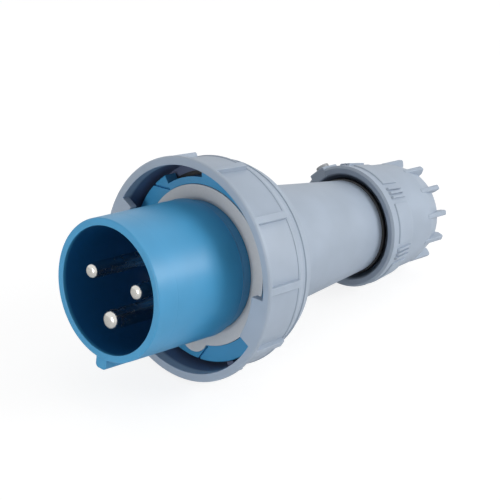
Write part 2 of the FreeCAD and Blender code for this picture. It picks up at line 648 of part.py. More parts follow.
def locking_ring():
    body = new_body("locking_ring")
    turned(body, "shell", (
        (RING_MOUTH, "ring_at", "fine_round"),
        (LIP_R, "ring_at", "soft_round"),
        (LIP_R, "ring_at + lip_width", "edge_round"),
        (PANEL_FRONT_R, "ring_at + lip_width"),
        (PANEL_REAR_R, "panel_end_at"),
        (PANEL_REAR_R + " + band_bead", "panel_end_at"),
        (PANEL_REAR_R + " + band_bead", "panel_end_at + band_width", "band_width"),
        (RING_END_R, "ring_end_at", "soft_round"),
        (RING_END_R + " - ring_wall", "ring_end_at"),
        (PANEL_REAR_R + " - ring_wall", WEB_BACK),
        (WEB_BORE, WEB_BACK),
        (WEB_BORE, WEB_AT),
        (RING_BORE, WEB_AT),
    ))
    for name, turn in (("first_lug", "lug_angle"), ("second_lug", "lug_angle + 180")):
        turned(body, name, (
            ("lug_r", "ring_at", "fine_round"),
            (RING_MOUTH + " + over", "ring_at"),
            (RING_MOUTH + " + over", "ring_at + lug_thick"),
            ("lug_r", "ring_at + lug_thick", "fine_round"),
        ), width="lug_width", turn=turn)
    open_stop = "stop_angle - stop_width - stop_gap - unlock_turn"
    locked_stop = "stop_angle + stop_width + stop_gap + lock_turn"
    for name, turn in (("open_stop", open_stop), ("locked_stop", locked_stop)):
        turned(body, name, (
            ("flange_r + stop_gap", "stop_at"),
            (RING_BORE + " + over", "stop_at"),
            (RING_BORE + " + over", WEB_AT + " + over"),
            ("flange_r + stop_gap", WEB_AT + " + over"),
        ), width="stop_width", turn=turn)
    rib = turned(body, "rib", (
        (PANEL_REAR_R + " - over", "ring_at + lip_width / 2"),
        (LIP_R + " - fine_round", "ring_at + lip_width / 2"),
        (RIB_REAR_R, "panel_end_at - edge_round", "soft_round"),
        (PANEL_REAR_R + " - over", "panel_end_at"),
    ), width="rib_width", turn="rib_angle")
    repeated(body, "ribs", [rib], "rib_count")
    return body


def friction_washer():
    body = new_body("friction_washer")
    turned(body, "washer", (
        (WEB_BORE, FLANGE_BACK),
        (WEB_BORE + " + washer_width", FLANGE_BACK),
        (WEB_BORE + " + washer_width", FLANGE_BACK + " + washer_thick"),
        (WEB_BORE, FLANGE_BACK + " + washer_thick"),
    ))
    return body


# The grip

def rear_housing():
    body = new_body("rear_housing")
    turned(body, "shell", (
        (SLEEVE_BORE, FLANGE_BACK),
        (SLEEVE_R, FLANGE_BACK),
        (SLEEVE_R, SHOULDER_AT),
        ("shoulder_r", SHOULDER_AT, "edge_round"),
        ("shoulder_r", SHOULDER_AT + " + shoulder_length", "shoulder_round"),
        ("waist_r", "waist_at", "flare_round"),
        ("tail_r", "tail_at"),
        ("tail_r", "tail_end_at", "edge_round"),
        (TAIL_BORE, "tail_end_at"),
        (TAIL_BORE, "cage_seat_at"),
        (TAIL_BORE + " - cage_lip", "cage_seat_at"),
        (TAIL_BORE + " - cage_lip", "cage_seat_at - seat_land"),
        ("tail_r - grip_wall - cap_seal_depth", "cage_seat_at - seat_land - seat_slope"),
        ("waist_r - grip_wall", "waist_at"),
        ("shoulder_r - 2 * grip_wall", SHOULDER_AT + " + 2 * shoulder_length"),
        (SLEEVE_BORE, SHOULDER_AT + " + shoulder_length"),
    ))
    turned(body, "lip_ring_groove", (
        (CAP_SEAL_SEAT, CAP_SEAL_AT),
        ("tail_r + over", CAP_SEAL_AT),
        ("tail_r + over", CAP_SEAL_AT + " + cap_seal_length"),
        (CAP_SEAL_SEAT, CAP_SEAL_AT + " + cap_seal_length"),
    ), cut=True)
    boss = turned(body, "boss", (
        ("long_circle_r - long_screw_r - boss_wall", "boss_at"),
        ("shoulder_r - 1.5 * grip_wall", "boss_at"),
        ("shoulder_r - 1.5 * grip_wall", SHOULDER_AT + " + 2 * shoulder_length"),
        ("waist_r - grip_wall / 2", "waist_at"),
        ("long_circle_r - long_screw_r - boss_wall", "waist_at"),
    ), width="boss_width", turn="screw_angle")
    hole = round_hole(body, "boss_hole", "long_screw_r + screw_gap", "long_circle_r", "screw_angle",
                      "boss_at - over", "long_end_at - boss_at + 2 * over")
    repeated(body, "bosses", [boss, hole], "3")
    return body


def housing_seal():
    """An O-ring in the spigot's groove that bears on the grip's sleeve."""
    ring = doc.addObject("Part::Torus", "o_ring")
    ring.setExpression("Radius1", bound("spigot_r + fit_gap - o_ring_r - o_ring_gap"))
    ring.setExpression("Radius2", bound("o_ring_r"))
    ring.setExpression("Placement.Base.z", bound(O_RING_AT))
    group = doc.addObject("Part::Compound", "housing_seal")
    group.Links = [ring]
    return group


def cap_seal():
    body = new_body("cap_seal")
    turned(body, "lip_ring", (
        (CAP_SEAL_SEAT, CAP_SEAL_AT),
        (CAP_MOUTH_R + " - turn_gap", CAP_SEAL_AT, "cap_seal_depth"),
        (CAP_MOUTH_R + " - turn_gap", CAP_SEAL_AT + " + cap_seal_length", "cap_seal_depth"),
        (CAP_SEAL_SEAT, CAP_SEAL_AT + " + cap_seal_length"),
    ))
    return body


# The gland

def clamping_cage():
    body = new_body("clamping_cage")
    turned(body, "tube", (
        (CAGE_BORE + " - cage_lip", "cage_seat_at"),
        (CAGE_R, "cage_seat_at"),
        (CAGE_R, "cage_seat_at + cage_base"),
        ("cage_tip_r", "cage_seat_at + cage_length", "edge_round"),
        (CAGE_BORE, "cage_seat_at + cage_length"),
        (CAGE_BORE, "cage_seat_at + cage_lip"),
        (CAGE_BORE + " - cage_lip", "cage_seat_at + cage_lip"),
    ))
    sketch = new_sketch(body, "finger_slot_outline", "XY_Plane", turn="180 / finger_count",
                        lift="cage_seat_at + cage_base")
    box_outline(sketch, CAGE_BORE + " - over", CAGE_R + " + over", "finger_slot / 2")
    slot = sunk(body, "slot", sketch, "cage_length")
    repeated(body, "slots", [slot], "finger_count")
    return body


def cable_grommet():
    body = new_body("cable_grommet")
    front = "cage_seat_at + cage_lip"
    turned(body, "sleeve", (
        ("cable_r", front, "soft_round"),
        (CAGE_BORE + " - fit_gap", front, "edge_round"),
        (CAGE_BORE + " - fit_gap", front + " + grommet_length", "soft_round"),
        ("cable_r", front + " + grommet_length", "soft_round"),
    ))
    return body


def thrust_washer():
    body = new_body("thrust_washer")
    turned(body, "washer", (
        ("thrust_bore_r", CAP_INSIDE_AT + " - thrust_gap - thrust_thick"),
        ("cap_cone_rear_r - 2 * turn_gap", CAP_INSIDE_AT + " - thrust_gap - thrust_thick"),
        ("cap_cone_rear_r - 2 * turn_gap", CAP_INSIDE_AT + " - thrust_gap"),
        ("thrust_bore_r", CAP_INSIDE_AT + " - thrust_gap"),
    ))
    return body


def gland_cap():
    body = new_body("gland_cap")
    turned(body, "shell", (
        (CAP_MOUTH_R + " + cap_mouth_ease", "cap_at"),
        ("cap_r", "cap_at", "soft_round"),
        ("cap_step_r", "cap_step_at"),
        ("cap_rear_r", "cap_step_at + cap_step_slope"),
        ("cap_turn_r", "cap_turn_at", "cap_round"),
        ("cap_end_r", "cap_end_at", "cap_end_round"),
        ("cable_hole_r", "cap_end_at", "edge_round"),
        ("cable_hole_r", CAP_INSIDE_AT),
        ("cap_cone_rear_r", CAP_INSIDE_AT),
        ("cap_cone_front_r", "cap_thread_end_at + cap_thread_slope"),
        ("tail_r + cap_thread_gap", "cap_thread_end_at"),
        ("tail_r + cap_thread_gap", "cap_at + cap_mouth_depth + cap_mouth_slope"),
        (CAP_MOUTH_R, "cap_at + cap_mouth_depth"),
        (CAP_MOUTH_R, "cap_at + cap_mouth_ease"),
    ))
    boss = new_sketch(body, "boss_outline", "XY_Plane", turn="lock_angle", lift="cap_at")
    outline(boss, (
        (CAP_MOUTH_R + " + cap_mouth_ease", "-lock_boss_width / 2"),
        ("lock_boss_r", "-lock_boss_width / 2", "lock_boss_round"),
        ("lock_boss_r", "lock_boss_width / 2", "lock_boss_round"),
        (CAP_MOUTH_R + " + cap_mouth_ease", "lock_boss_width / 2"),
    ))
    raised(body, "boss", boss, "lock_boss_length")
    slope = "(cap_r - cap_step_r) / (cap_step_at - cap_at)"
    skin = "cap_r - (%s - cap_at) * " + slope
    front, rear = "ridge_at", "(ridge_at + ridge_length)"
    ridges = []
    pad = (("left", "pad_angle - pad_pitch"), ("middle", "pad_angle"), ("right", "pad_angle + pad_pitch"))
    for name, turn in pad:
        ridges.append(turned(body, name + "_ridge", (
            ("cap_step_r - over", front),
            (skin % front, front),
            (skin % (front + " + ridge_height") + " + ridge_height", front + " + ridge_height"),
            (skin % rear + " + ridge_height", rear),
            ("cap_step_r - over", rear),
        ), width="ridge_width", turn=turn))
    tile = turned(body, "tile", (
        ("cap_step_r - over", front),
        (skin % front, front),
        (skin % (front + " + tile_height") + " + tile_height", front + " + tile_height"),
        (skin % rear + " + tile_height", rear),
        ("cap_step_r - over", rear),
    ), width="tile_width", turn="pad_angle + 180 / pad_count")
    repeated(body, "pads_and_tiles", ridges + [tile], "pad_count")
    hole = new_sketch(body, "lock_hole_circle", "YZ_Plane", turn="lock_angle")
    circle(hole, "lock_screw_r + screw_gap", "0", "lock_at")
    sunk(body, "lock_hole", hole, "lock_boss_r + over")
    seat = new_sketch(body, "insert_seat_circle", "YZ_Plane", turn="lock_angle")
    circle(seat, "insert_r + screw_gap", "0", "lock_at")
    sunk(body, "insert_seat", seat, CAP_MOUTH_R + " + insert_length + screw_gap")
    sketch = new_sketch(body, "fin_outline", "XZ_Plane", turn="180 / fin_count + lying_roll")
    outline(sketch, (
        ("fin_root_r", "fin_at"),
        ("fin_front_r", "fin_at"),
        ("fin_r", "fin_end_at", "fin_round"),
        ("fin_root_r + fin_heel", "fin_end_at", "fin_round"),
        ("fin_root_r", "cap_end_at"),
    ))
    fin = raised(body, "fin", sketch, "fin_thick", both_ways=True)
    repeated(body, "fins", [fin], "fin_count")
    return body


def lock_screw():
    """A cheese-head screw on its own axis, which stands radially in the cap's boss."""
    body = new_body("lock_screw")
    turned(body, "screw", (
        ("0", "tail_r + lock_tip_gap"),
        ("lock_screw_r", "tail_r + lock_tip_gap", "edge_round"),
        ("lock_screw_r", "lock_boss_r"),
        ("lock_head_r", "lock_boss_r"),
        ("lock_head_r", "lock_boss_r + lock_head", "edge_round"),
        ("0", "lock_boss_r + lock_head"),
    ))
    sketch = new_sketch(body, "slot_outline", "XY_Plane", turn="lock_slot_angle",
                        lift="lock_boss_r + lock_head - lock_slot")
    box_outline(sketch, "-(lock_head_r + over)", "lock_head_r + over", "lock_slot / 2")
    sunk(body, "slot", sketch, "2 * lock_slot")
    return body


def lock_insert():
    body = new_body("lock_insert")
    turned(body, "bush", (
        ("lock_screw_r + screw_gap", CAP_MOUTH_R),
        ("insert_r", CAP_MOUTH_R),
        ("insert_r", CAP_MOUTH_R + " + insert_length"),
        ("lock_screw_r + screw_gap", CAP_MOUTH_R + " + insert_length"),
    ))
    return body


# Each sub-part, with its own place on the plug's axis

def pin_place(angle):
    turn = Placement(Vector(0, 0, 0), Rotation(Vector(0, 0, 1), value(angle)))
    return turn * Placement(Vector(value("pin_circle_r"), 0, 0), Rotation())


def lock_place():
    turn = Placement(Vector(0, 0, value("lock_at")), Rotation(Vector(0, 0, 1), value("lock_angle")))
    return turn * Placement(Vector(0, 0, 0), Rotation(Vector(0, 1, 0), 90))


on_axis = Placement()
subparts = [(front_shroud(), on_axis), (face_gasket(), on_axis)]
for pin_name, pin_radius, pin_angle in PINS:
    subparts.append((contact_pin(pin_name, pin_radius), pin_place(pin_angle)))
subparts += [
    (pin_seals(), on_axis),
    (pin_retainer(), on_axis),
    (slotted_screws("retainer_screws", "small_circle_r", "small_head_r", "small_screw_r",
                    FLOOR_BACK + " + retainer_thick", "small_head", "retainer_thick + small_grip",
                    True), on_axis),
    (terminal_screws(), on_axis),
    (slotted_screws("housing_screws", "long_circle_r", "long_head_r", "long_screw_r",
                    "floor_at + screw_pass", "long_head", "long_end_at - floor_at - long_head - screw_pass",
                    False), on_axis),
    (locking_ring(), on_axis),
    (friction_washer(), on_axis),
    (rear_housing(), on_axis),
    (housing_seal(), on_axis),
    (cap_seal(), on_axis),
    (clamping_cage(), on_axis),
    (cable_grommet(), on_axis),
    (thrust_washer(), on_axis),
    (gland_cap(), on_axis),
    (lock_screw(), lock_place()),
    (lock_insert(), lock_place()),
]
doc.recompute()

# The plug lies on its ring's lip and its two lowest fins, so its axis slopes down to the rear.
# Row frame: Z up, the plug's rear towards Y, the origin below the middle of the whole plug.
fin_drop = value("fin_r * cos(180 / fin_count)")
tilt = math.degrees(math.atan2(value(LIP_R) - fin_drop, value("fin_end_at - ring_at")))
upright = Rotation(Vector(1, 1, 1), 240)
roll = Rotation(Vector(0, 0, 1), -value("lying_roll"))
lying = Placement(Vector(0, 0, 0), Rotation(Vector(1, 0, 0), -tilt) * upright * roll)
whole = FreeCAD.BoundBox()
for subpart, place in subparts:
    subpart.Placement = lying * place
    whole.add(subpart.Shape.optimalBoundingBox(False))
origin = Vector(whole.Center.x, whole.Center.y, whole.ZMin)
for subpart, place in subparts:
    subpart.Placement = Placement(-origin, Rotation()) * lying * place
doc.recompute()

for thing in doc.Objects:
    if "Invalid" in thing.State or "Error" in thing.State:
        raise RuntimeError("%s failed: %s" % (thing.Name, thing.State))
for subpart, place in subparts:
    if subpart.Shape.isNull() or not subpart.Shape.isValid():
        raise RuntimeError("%s has no valid shape" % subpart.Label)

os.makedirs("parts", exist_ok=True)
for subpart, place in subparts:
    subpart.Shape.exportStep("parts/%s.step" % subpart.Label)
    print("%-16s %3d solid %10.1f mm3" % (subpart.Label, len(subpart.Shape.Solids), subpart.Shape.Volume))
print("tilt %.3f deg, rim centre at %s" % (tilt, tuple(round(c, 3) for c in -origin)))
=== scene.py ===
"""The looks of an industrial pin and sleeve plug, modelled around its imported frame."""

import json
import math
from types import SimpleNamespace

import bpy
from bpy.props import FloatProperty, FloatVectorProperty, PointerProperty
from bpy.types import Operator, Panel, PropertyGroup
from mathutils import Matrix, Vector


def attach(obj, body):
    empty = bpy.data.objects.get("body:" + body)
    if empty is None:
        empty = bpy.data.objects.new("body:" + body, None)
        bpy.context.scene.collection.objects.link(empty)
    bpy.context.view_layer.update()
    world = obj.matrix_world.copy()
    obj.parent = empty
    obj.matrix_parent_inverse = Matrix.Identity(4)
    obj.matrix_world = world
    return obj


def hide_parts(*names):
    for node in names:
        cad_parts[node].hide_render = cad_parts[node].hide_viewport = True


bl_info = {
    "name": "Pin and Sleeve Plug",
    "version": (1, 0, 0),
    "blender": (4, 5, 0),
    "location": "3D View > Sidebar > Plug",
    "description": "Models the visible pieces of an industrial pin and sleeve plug",
    "category": "Object",
}

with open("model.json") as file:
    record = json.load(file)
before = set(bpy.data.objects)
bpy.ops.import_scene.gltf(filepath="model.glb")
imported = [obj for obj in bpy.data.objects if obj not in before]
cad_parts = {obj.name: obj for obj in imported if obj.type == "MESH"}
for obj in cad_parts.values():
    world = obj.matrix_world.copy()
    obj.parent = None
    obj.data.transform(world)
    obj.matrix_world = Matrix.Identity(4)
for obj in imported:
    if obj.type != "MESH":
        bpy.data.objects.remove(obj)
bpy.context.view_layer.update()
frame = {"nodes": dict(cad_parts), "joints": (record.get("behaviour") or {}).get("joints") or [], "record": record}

MM = 0.001
WELD = 1e-6  # metres within which two points are one
ROUND_STEPS = 5  # edges of a rounded right angle
TURN_STEPS, PIN_STEPS, PAD_STEPS, POST_SIDES = 240, 96, 360, 64  # edges all round
SMOOTH_ANGLE = 35  # degrees up to which an edge is smooth

# Where the plug lies, read from the frame's joints and mounts. Pieces are modelled upright,
# X away from the key and Z back from the shroud's rim, and are laid down when they are done.
RING_JOINT_AT = 70 * MM
JOINTS = {joint["name"]: joint for joint in frame["joints"]}
MOUNTS = {mount["name"]: mount for mount in frame["record"]["mounts"]}
BACK = Vector(JOINTS["ring_turn"]["axis"]).normalized()
RIM = Vector(JOINTS["ring_turn"]["pos_m"]) - RING_JOINT_AT * BACK
PIN_SPOTS = [Vector(MOUNTS[name]["pos_m"]) for name in ("line_contact", "neutral_contact")]
BETWEEN_PINS = (PIN_SPOTS[0] + PIN_SPOTS[1]) / 2 - RIM
AWAY = (BETWEEN_PINS - BETWEEN_PINS.dot(BACK) * BACK).normalized()
LYING = Matrix.Translation(RIM) @ Matrix((AWAY, BACK.cross(AWAY), BACK)).transposed().to_4x4()


def linear(code):
    """An sRGB hex colour as the linear RGB that Blender works in."""
    parts = [int(code[i:i + 2], 16) / 255 for i in (1, 3, 5)]
    return tuple(p / 12.92 if p <= 0.04045 else ((p + 0.055) / 1.055) ** 2.4 for p in parts)


# Angles and widths about the axis in degrees, counted from the side away from the key, and
# counts round it
PHASE_ANGLE, KEY_ANGLE = 75.5, 180
SCREW_ANGLES = (0, 120, 240)
PASS_ANGLE, PASS_WIDTH = 58, 34
WINDOW_ANGLE, WINDOW_WIDTH = 335.5, 31.5
STOP_ANGLE, OPEN_STOP_ANGLE, LOCKED_STOP_ANGLE, STOP_WIDTH = 98, 79.5, 150.5, 5
LUG_ANGLE, LUG_WIDTH = 101.7, 28.8
RIB_ANGLE, RIB_COUNT = 10.5, 10
BOSS_WIDTH = 20
LOCK_ANGLE = 314.3
FIN_ANGLE, FIN_COUNT = 14.3, 12
PAD_ANGLE, PAD_COUNT = 41.2, 6

# Each face slot's two ends (radius, angle), and each raised form of a cap pad: its name, angle,
# width about the axis, height and rounding
FACE_SLOTS = (((51, 175), (42.2, 165.9)), ((51, -52.6), (42.6, -40.8)))
PAD_FORMS = (
    ("left_ridge", PAD_ANGLE - 4.6, 2.6, 1.2, 0.25),
    ("middle_ridge", PAD_ANGLE, 2.6, 1.2, 0.25),
    ("right_ridge", PAD_ANGLE + 4.6, 2.6, 1.2, 0.25),
    ("tile", PAD_ANGLE + 30, 38, 0.7, 0.2),
)

# Sizes in millimetres that several forms share; AT and END count back from the shroud's rim
SEAT_PLAY, KEY_ROUNDING = 0.15, 2.2
STOP_AT, STOP_END = 66.8, 71.8
PAD_AT, PAD_LENGTH = 185.2, 13.5
LOCK_AT = 186.2


# Outlines and solids, drawn and shaped in edit mode

def directions(turn):
    """The directions out from the axis and aside, at an angle in degrees."""
    angle = math.radians(turn)
    out = Vector((math.cos(angle), math.sin(angle), 0))
    return out, Vector((-math.sin(angle), math.cos(angle), 0))


def rounded(corners):
    """Points along an outline of corners (across, along, rounding) in millimetres."""
    points = []
    for index, corner in enumerate(corners):
        here = Vector(corner[:2])
        radius = corner[2] if len(corner) > 2 else 0
        if not radius:
            points.append(here)
            continue
        before = (Vector(corners[index - 1][:2]) - here).normalized()
        after = (Vector(corners[(index + 1) % len(corners)][:2]) - here).normalized()
        half = before.angle(after) / 2
        centre = here + (before + after).normalized() * (radius / math.sin(half))
        first = here + before * (radius / math.tan(half)) - centre
        sweep = (math.pi - 2 * half) * (1 if before.cross(after) < 0 else -1)
        steps = max(2, math.ceil(abs(sweep) / math.radians(90 / ROUND_STEPS)))
        for step in range(steps + 1):
            turn = Matrix.Rotation(sweep * step / steps, 2)
            points.append(centre + turn @ first)
    return points


def choose(piece):
    """Makes a piece the only selected and the active object."""
    bpy.ops.object.select_all(action="DESELECT")
    piece.select_set(True)
    bpy.context.view_layer.objects.active = piece


def open_piece(piece):
    """Opens a piece in edit mode, selected all over."""
    choose(piece)
    bpy.ops.object.mode_set(mode="EDIT")
    bpy.ops.mesh.select_all(action="SELECT")


def start_piece(name):
    """A new object that holds one vertex, open in edit mode."""
    bpy.ops.object.select_all(action="DESELECT")
    bpy.ops.mesh.primitive_plane_add(size=MM, location=(0, 0, 0))
    piece = bpy.context.object
    piece.name = name
    piece.data.name = name
    open_piece(piece)
    bpy.ops.mesh.merge(type="CENTER")
    return piece


def draw(points, closed=True):
    """Extrudes the vertex along a path of points in metres."""
    bpy.ops.transform.translate(value=points[0])
    path = points + points[:1] if closed else points
    for here, there in zip(path, path[1:]):
        bpy.ops.mesh.extrude_region_move(TRANSFORM_OT_translate={"value": there - here})
    bpy.ops.mesh.select_all(action="SELECT")
    bpy.ops.mesh.remove_doubles(threshold=WELD)


def close_piece(piece):
    """Turns the faces outwards, smooths the shallow edges and goes back to object mode."""
    bpy.ops.mesh.select_all(action="SELECT")
    bpy.ops.mesh.remove_doubles(threshold=WELD)
    bpy.ops.mesh.normals_make_consistent(inside=False)
    bpy.ops.object.mode_set(mode="OBJECT")
    bpy.ops.object.shade_smooth_by_angle(angle=math.radians(SMOOTH_ANGLE))
    return piece


def turned(name, corners, width=360, turn=0, steps=TURN_STEPS):
    """Spins an outline (radius, distance back) about the axis, all round or as a sector.

    An outline that starts and ends on the axis stays open, so that it closes at its poles.
    """
    across, _ = directions(turn - (width / 2 if width < 360 else 0))
    solid = corners[0][0] == 0
    piece = start_piece(name)
    draw([MM * (p.x * across + Vector((0, 0, p.y))) for p in rounded(corners)], closed=not solid)
    if width < 360:
        bpy.ops.mesh.edge_face_add()
    steps = max(3, round(steps * width / 360))
    bpy.ops.mesh.spin(steps=steps, angle=math.radians(width), center=(0, 0, 0), axis=(0, 0, -1))
    return close_piece(piece)


def plate(name, points, thickness):
    """Fills an outline of points in metres and extrudes it along a vector."""
    piece = start_piece(name)
    draw(points)
    bpy.ops.mesh.edge_face_add()
    bpy.ops.mesh.extrude_region_move(TRANSFORM_OT_translate={"value": thickness})
    return close_piece(piece)


def slab(name, corners, thickness, turn=0):
    """A flat plate in a plane through the axis, from an outline (radius, distance back)."""
    across, beside = directions(turn)
    low = -thickness / 2 * beside
    points = [MM * (p.x * across + Vector((0, 0, p.y)) + low) for p in rounded(corners)]
    return plate(name, points, MM * thickness * beside)


def bar(name, corners, begin, length, turn=0):
    """A bar along the axis, from an outline (distance out, distance aside)."""
    across, beside = directions(turn)
    base = Vector((0, 0, begin))
    points = [MM * (p.x * across + p.y * beside + base) for p in rounded(corners)]
    return plate(name, points, Vector((0, 0, MM * length)))


def strip(name, first, last, width, begin, length):
    """A straight bar along the axis whose section runs between two points (radius, angle)."""
    ends = [Vector((radius * math.cos(math.radians(turn)), radius * math.sin(math.radians(turn))))
            for radius, turn in (first, last)]
    aside = (ends[1] - ends[0]).normalized().orthogonal() * width / 2
    corners = [ends[0] + aside, ends[0] - aside, ends[1] - aside, ends[1] + aside]
    return bar(name, corners, begin, length)


def rod(name, radius, length, middle, rotation=(0, 0, 0)):
    """A cylinder about its middle, in millimetres."""
    bpy.ops.object.select_all(action="DESELECT")
    bpy.ops.mesh.primitive_cylinder_add(vertices=POST_SIDES, radius=radius * MM, depth=length * MM,
                                        location=MM * middle, rotation=rotation)
    piece = bpy.context.object
    piece.name = name
    bpy.ops.object.transform_apply(location=True, rotation=True, scale=True)
    return piece


def post(name, radius, across, turn, begin, length):
    """A round post along the axis, at a distance and an angle from it."""
    angle = math.radians(turn)
    middle = Vector((across * math.cos(angle), across * math.sin(angle), begin + length / 2))
    return rod(name, radius, length, middle)


def spoke(name, radius, turn, at, begin, length):
    """A round post that stands radially from the axis."""
    angle = math.radians(turn)
    out = begin + length / 2
    middle = Vector((out * math.cos(angle), out * math.sin(angle), at))
    return rod(name, radius, length, middle, rotation=(0, math.pi / 2, angle))


def shifted(piece, across, turn):
    """Moves a piece's mesh out from the axis."""
    open_piece(piece)
    bpy.ops.transform.translate(value=MM * across * directions(turn)[0])
    bpy.ops.object.mode_set(mode="OBJECT")


def repeat(piece, count):
    """Copies a piece's mesh all round the axis, within the same object."""
    open_piece(piece)
    share = 2 * math.pi / count
    bpy.ops.mesh.spin(steps=count - 1, angle=share * (count - 1), dupli=True,
                      center=(0, 0, 0), axis=(0, 0, 1))
    return close_piece(piece)


def bevelled(piece, width, segments=3, angle=30):
    """Rounds a piece's sharp edges."""
    choose(piece)
    bpy.ops.object.modifier_add(type="BEVEL")
    bevel = piece.modifiers[-1]
    bevel.width = width * MM
    bevel.segments = segments
    bevel.limit_method = "ANGLE"
    bevel.angle_limit = math.radians(angle)
    bevel.harden_normals = False
    bpy.ops.object.modifier_apply(modifier=bevel.name)
    return piece


def combine(piece, operation, *tools):
    """Adds tools to a piece or cuts them from it, and uses them up."""
    for tool in tools:
        choose(piece)
        bpy.ops.object.modifier_add(type="BOOLEAN")
        boolean = piece.modifiers[-1]
        boolean.operation = operation
        boolean.solver = "EXACT"
        boolean.object = tool
        bpy.ops.object.modifier_apply(modifier=boolean.name)
        choose(tool)
        bpy.ops.object.delete()


def dress(piece, finish):
    """Gives a piece one material and nothing else."""
    piece.data.materials.clear()
    piece.data.materials.append(finish)


def lay_down(piece, body, slot, finish, *nodes):
    """Takes a finished piece to its place, gives it its finish and lets it stand for its nodes."""
    choose(piece)
    bpy.ops.object.shade_smooth_by_angle(angle=math.radians(SMOOTH_ANGLE))
    bpy.ops.object.modifier_add(type="WEIGHTED_NORMAL")
    piece.modifiers[-1].keep_sharp = True
    bpy.ops.object.modifier_apply(modifier=piece.modifiers[-1].name)
    piece.matrix_world = LYING
    bpy.ops.object.transform_apply(location=True, rotation=True, scale=True)
    dress(piece, finish)
    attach(piece, body)
    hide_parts(*nodes)


# Finishes

# The Mix node's sockets for vectors, which share their names with those for numbers and colours
VECTOR_A, VECTOR_B, VECTOR_RESULT = 4, 5, 1
# The range that most of a noise's values lie in
NOISE_SPAN = {"From Min": 0.3, "From Max": 0.7}


def add(tree, kind, inputs=None, **settings):
    """Adds a node, sets its properties, and sets or links its inputs."""
    node = tree.nodes.new(kind)
    for name, value in settings.items():
        setattr(node, name, value)
    for name, value in (inputs or {}).items():
        if isinstance(value, bpy.types.NodeSocket):
            tree.links.new(value, node.inputs[name])
        else:
            node.inputs[name].default_value = value
    return node


def new_material(name):
    """An empty material, its node tree and its shader."""
    finish = bpy.data.materials.new(name)
    finish.use_nodes = True
    shader = finish.node_tree.nodes["Principled BSDF"]
    return finish, finish.node_tree, shader


def painted_shade_in_bore(tree, place, bore, front, depth, back):
    """The mask of the painted shade in a bore about the plug's axis: 0 outside it, rising to 1 at a depth inside
    it, in metres.
    """
    spot = add(tree, "ShaderNodeVectorMath", {0: place, 1: tuple(RIM)},
               operation="SUBTRACT").outputs["Vector"]
    along = add(tree, "ShaderNodeVectorMath", {0: spot, 1: tuple(BACK)},
                operation="DOT_PRODUCT").outputs["Value"]
    beside = add(tree, "ShaderNodeVectorMath", {0: spot, 1: tuple(BACK)},
                 operation="CROSS_PRODUCT").outputs["Vector"]
    radius = add(tree, "ShaderNodeVectorMath", {0: beside}, operation="LENGTH").outputs["Value"]
    within = add(tree, "ShaderNodeMath", {0: radius, 1: bore}, operation="LESS_THAN").outputs[0]
    ahead = add(tree, "ShaderNodeMath", {0: along, 1: back}, operation="LESS_THAN").outputs[0]
    deep = add(tree, "ShaderNodeMapRange",
               {"Value": along, "From Min": front, "From Max": front + depth}).outputs["Result"]
    both = add(tree, "ShaderNodeMath", {0: within, 1: ahead}, operation="MULTIPLY").outputs[0]
    return add(tree, "ShaderNodeMath", {0: both, 1: deep}, operation="MULTIPLY").outputs[0]


def moulded_polyamide(name, colour, roughness, inside=None, bore=()):
    """Glass-filled polyamide from a spark-eroded mould: satin, with a fine even grain.

    The real grain is about 0.05 mm. It is drawn at 0.35 mm, so that it shows, and a faint cloud
    stands for the flow of the plastic. Inside a bore the colour is blended towards a darker one:
    painted shade, because the studio's pale surroundings throw more light into it than a room does.
    """
    grain_size, cloud_size, unevenness = 0.35 * MM, 22 * MM, 0.05
    finish, tree, shader = new_material(name)
    place = add(tree, "ShaderNodeTexCoord").outputs["Object"]
    grain = add(tree, "ShaderNodeTexNoise",
                {"Vector": place, "Scale": 1 / grain_size, "Detail": 3.0}).outputs["Fac"]
    flow = add(tree, "ShaderNodeTexNoise",
               {"Vector": place, "Scale": 1 / cloud_size, "Detail": 2.0}).outputs["Fac"]
    tone = add(tree, "ShaderNodeMapRange", {**NOISE_SPAN, "Value": flow, "To Min": 1 - unevenness,
                                            "To Max": 1 + unevenness}).outputs["Result"]
    colour_out = add(tree, "ShaderNodeVectorMath", {0: colour, "Scale": tone},
                     operation="SCALE").outputs["Vector"]
    # The inside colour is painted shade, blended in by the bore's mask
    if inside:
        painted_shade_mix = add(tree, "ShaderNodeMix", {
            "Factor": painted_shade_in_bore(tree, place, *bore), VECTOR_A: colour_out, VECTOR_B: inside,
        }, data_type="VECTOR")
        colour_out = painted_shade_mix.outputs[VECTOR_RESULT]
    satin = add(tree, "ShaderNodeMapRange", {
        **NOISE_SPAN, "Value": grain, "To Min": roughness - 0.05, "To Max": roughness + 0.07})
    relief = add(tree, "ShaderNodeBump",
                 {"Height": grain, "Strength": 0.12, "Distance": 0.05 * MM})
    tree.links.new(colour_out, shader.inputs["Base Color"])
    tree.links.new(satin.outputs["Result"], shader.inputs["Roughness"])
    tree.links.new(relief.outputs["Normal"], shader.inputs["Normal"])
    shader.inputs["IOR"].default_value = 1.53
    return finish


def rubber(name, colour, roughness, mottled=0.07):
    """Pressed rubber: dull, with a slight mottle about 1.5 mm wide."""
    mottle_size = 1.5 * MM
    finish, tree, shader = new_material(name)
    place = add(tree, "ShaderNodeTexCoord").outputs["Object"]
    mottle = add(tree, "ShaderNodeTexNoise",
                 {"Vector": place, "Scale": 1 / mottle_size, "Detail": 4.0}).outputs["Fac"]
    tone = add(tree, "ShaderNodeMapRange", {**NOISE_SPAN, "Value": mottle, "To Min": 1 - mottled,
                                            "To Max": 1 + mottled}).outputs["Result"]
    tint = add(tree, "ShaderNodeVectorMath", {0: colour, "Scale": tone}, operation="SCALE")
    relief = add(tree, "ShaderNodeBump",
                 {"Height": mottle, "Strength": mottled, "Distance": 0.1 * MM})
    tree.links.new(tint.outputs["Vector"], shader.inputs["Base Color"])
    tree.links.new(relief.outputs["Normal"], shader.inputs["Normal"])
    shader.inputs["Roughness"].default_value = roughness
    shader.inputs["IOR"].default_value = 1.52
    return finish


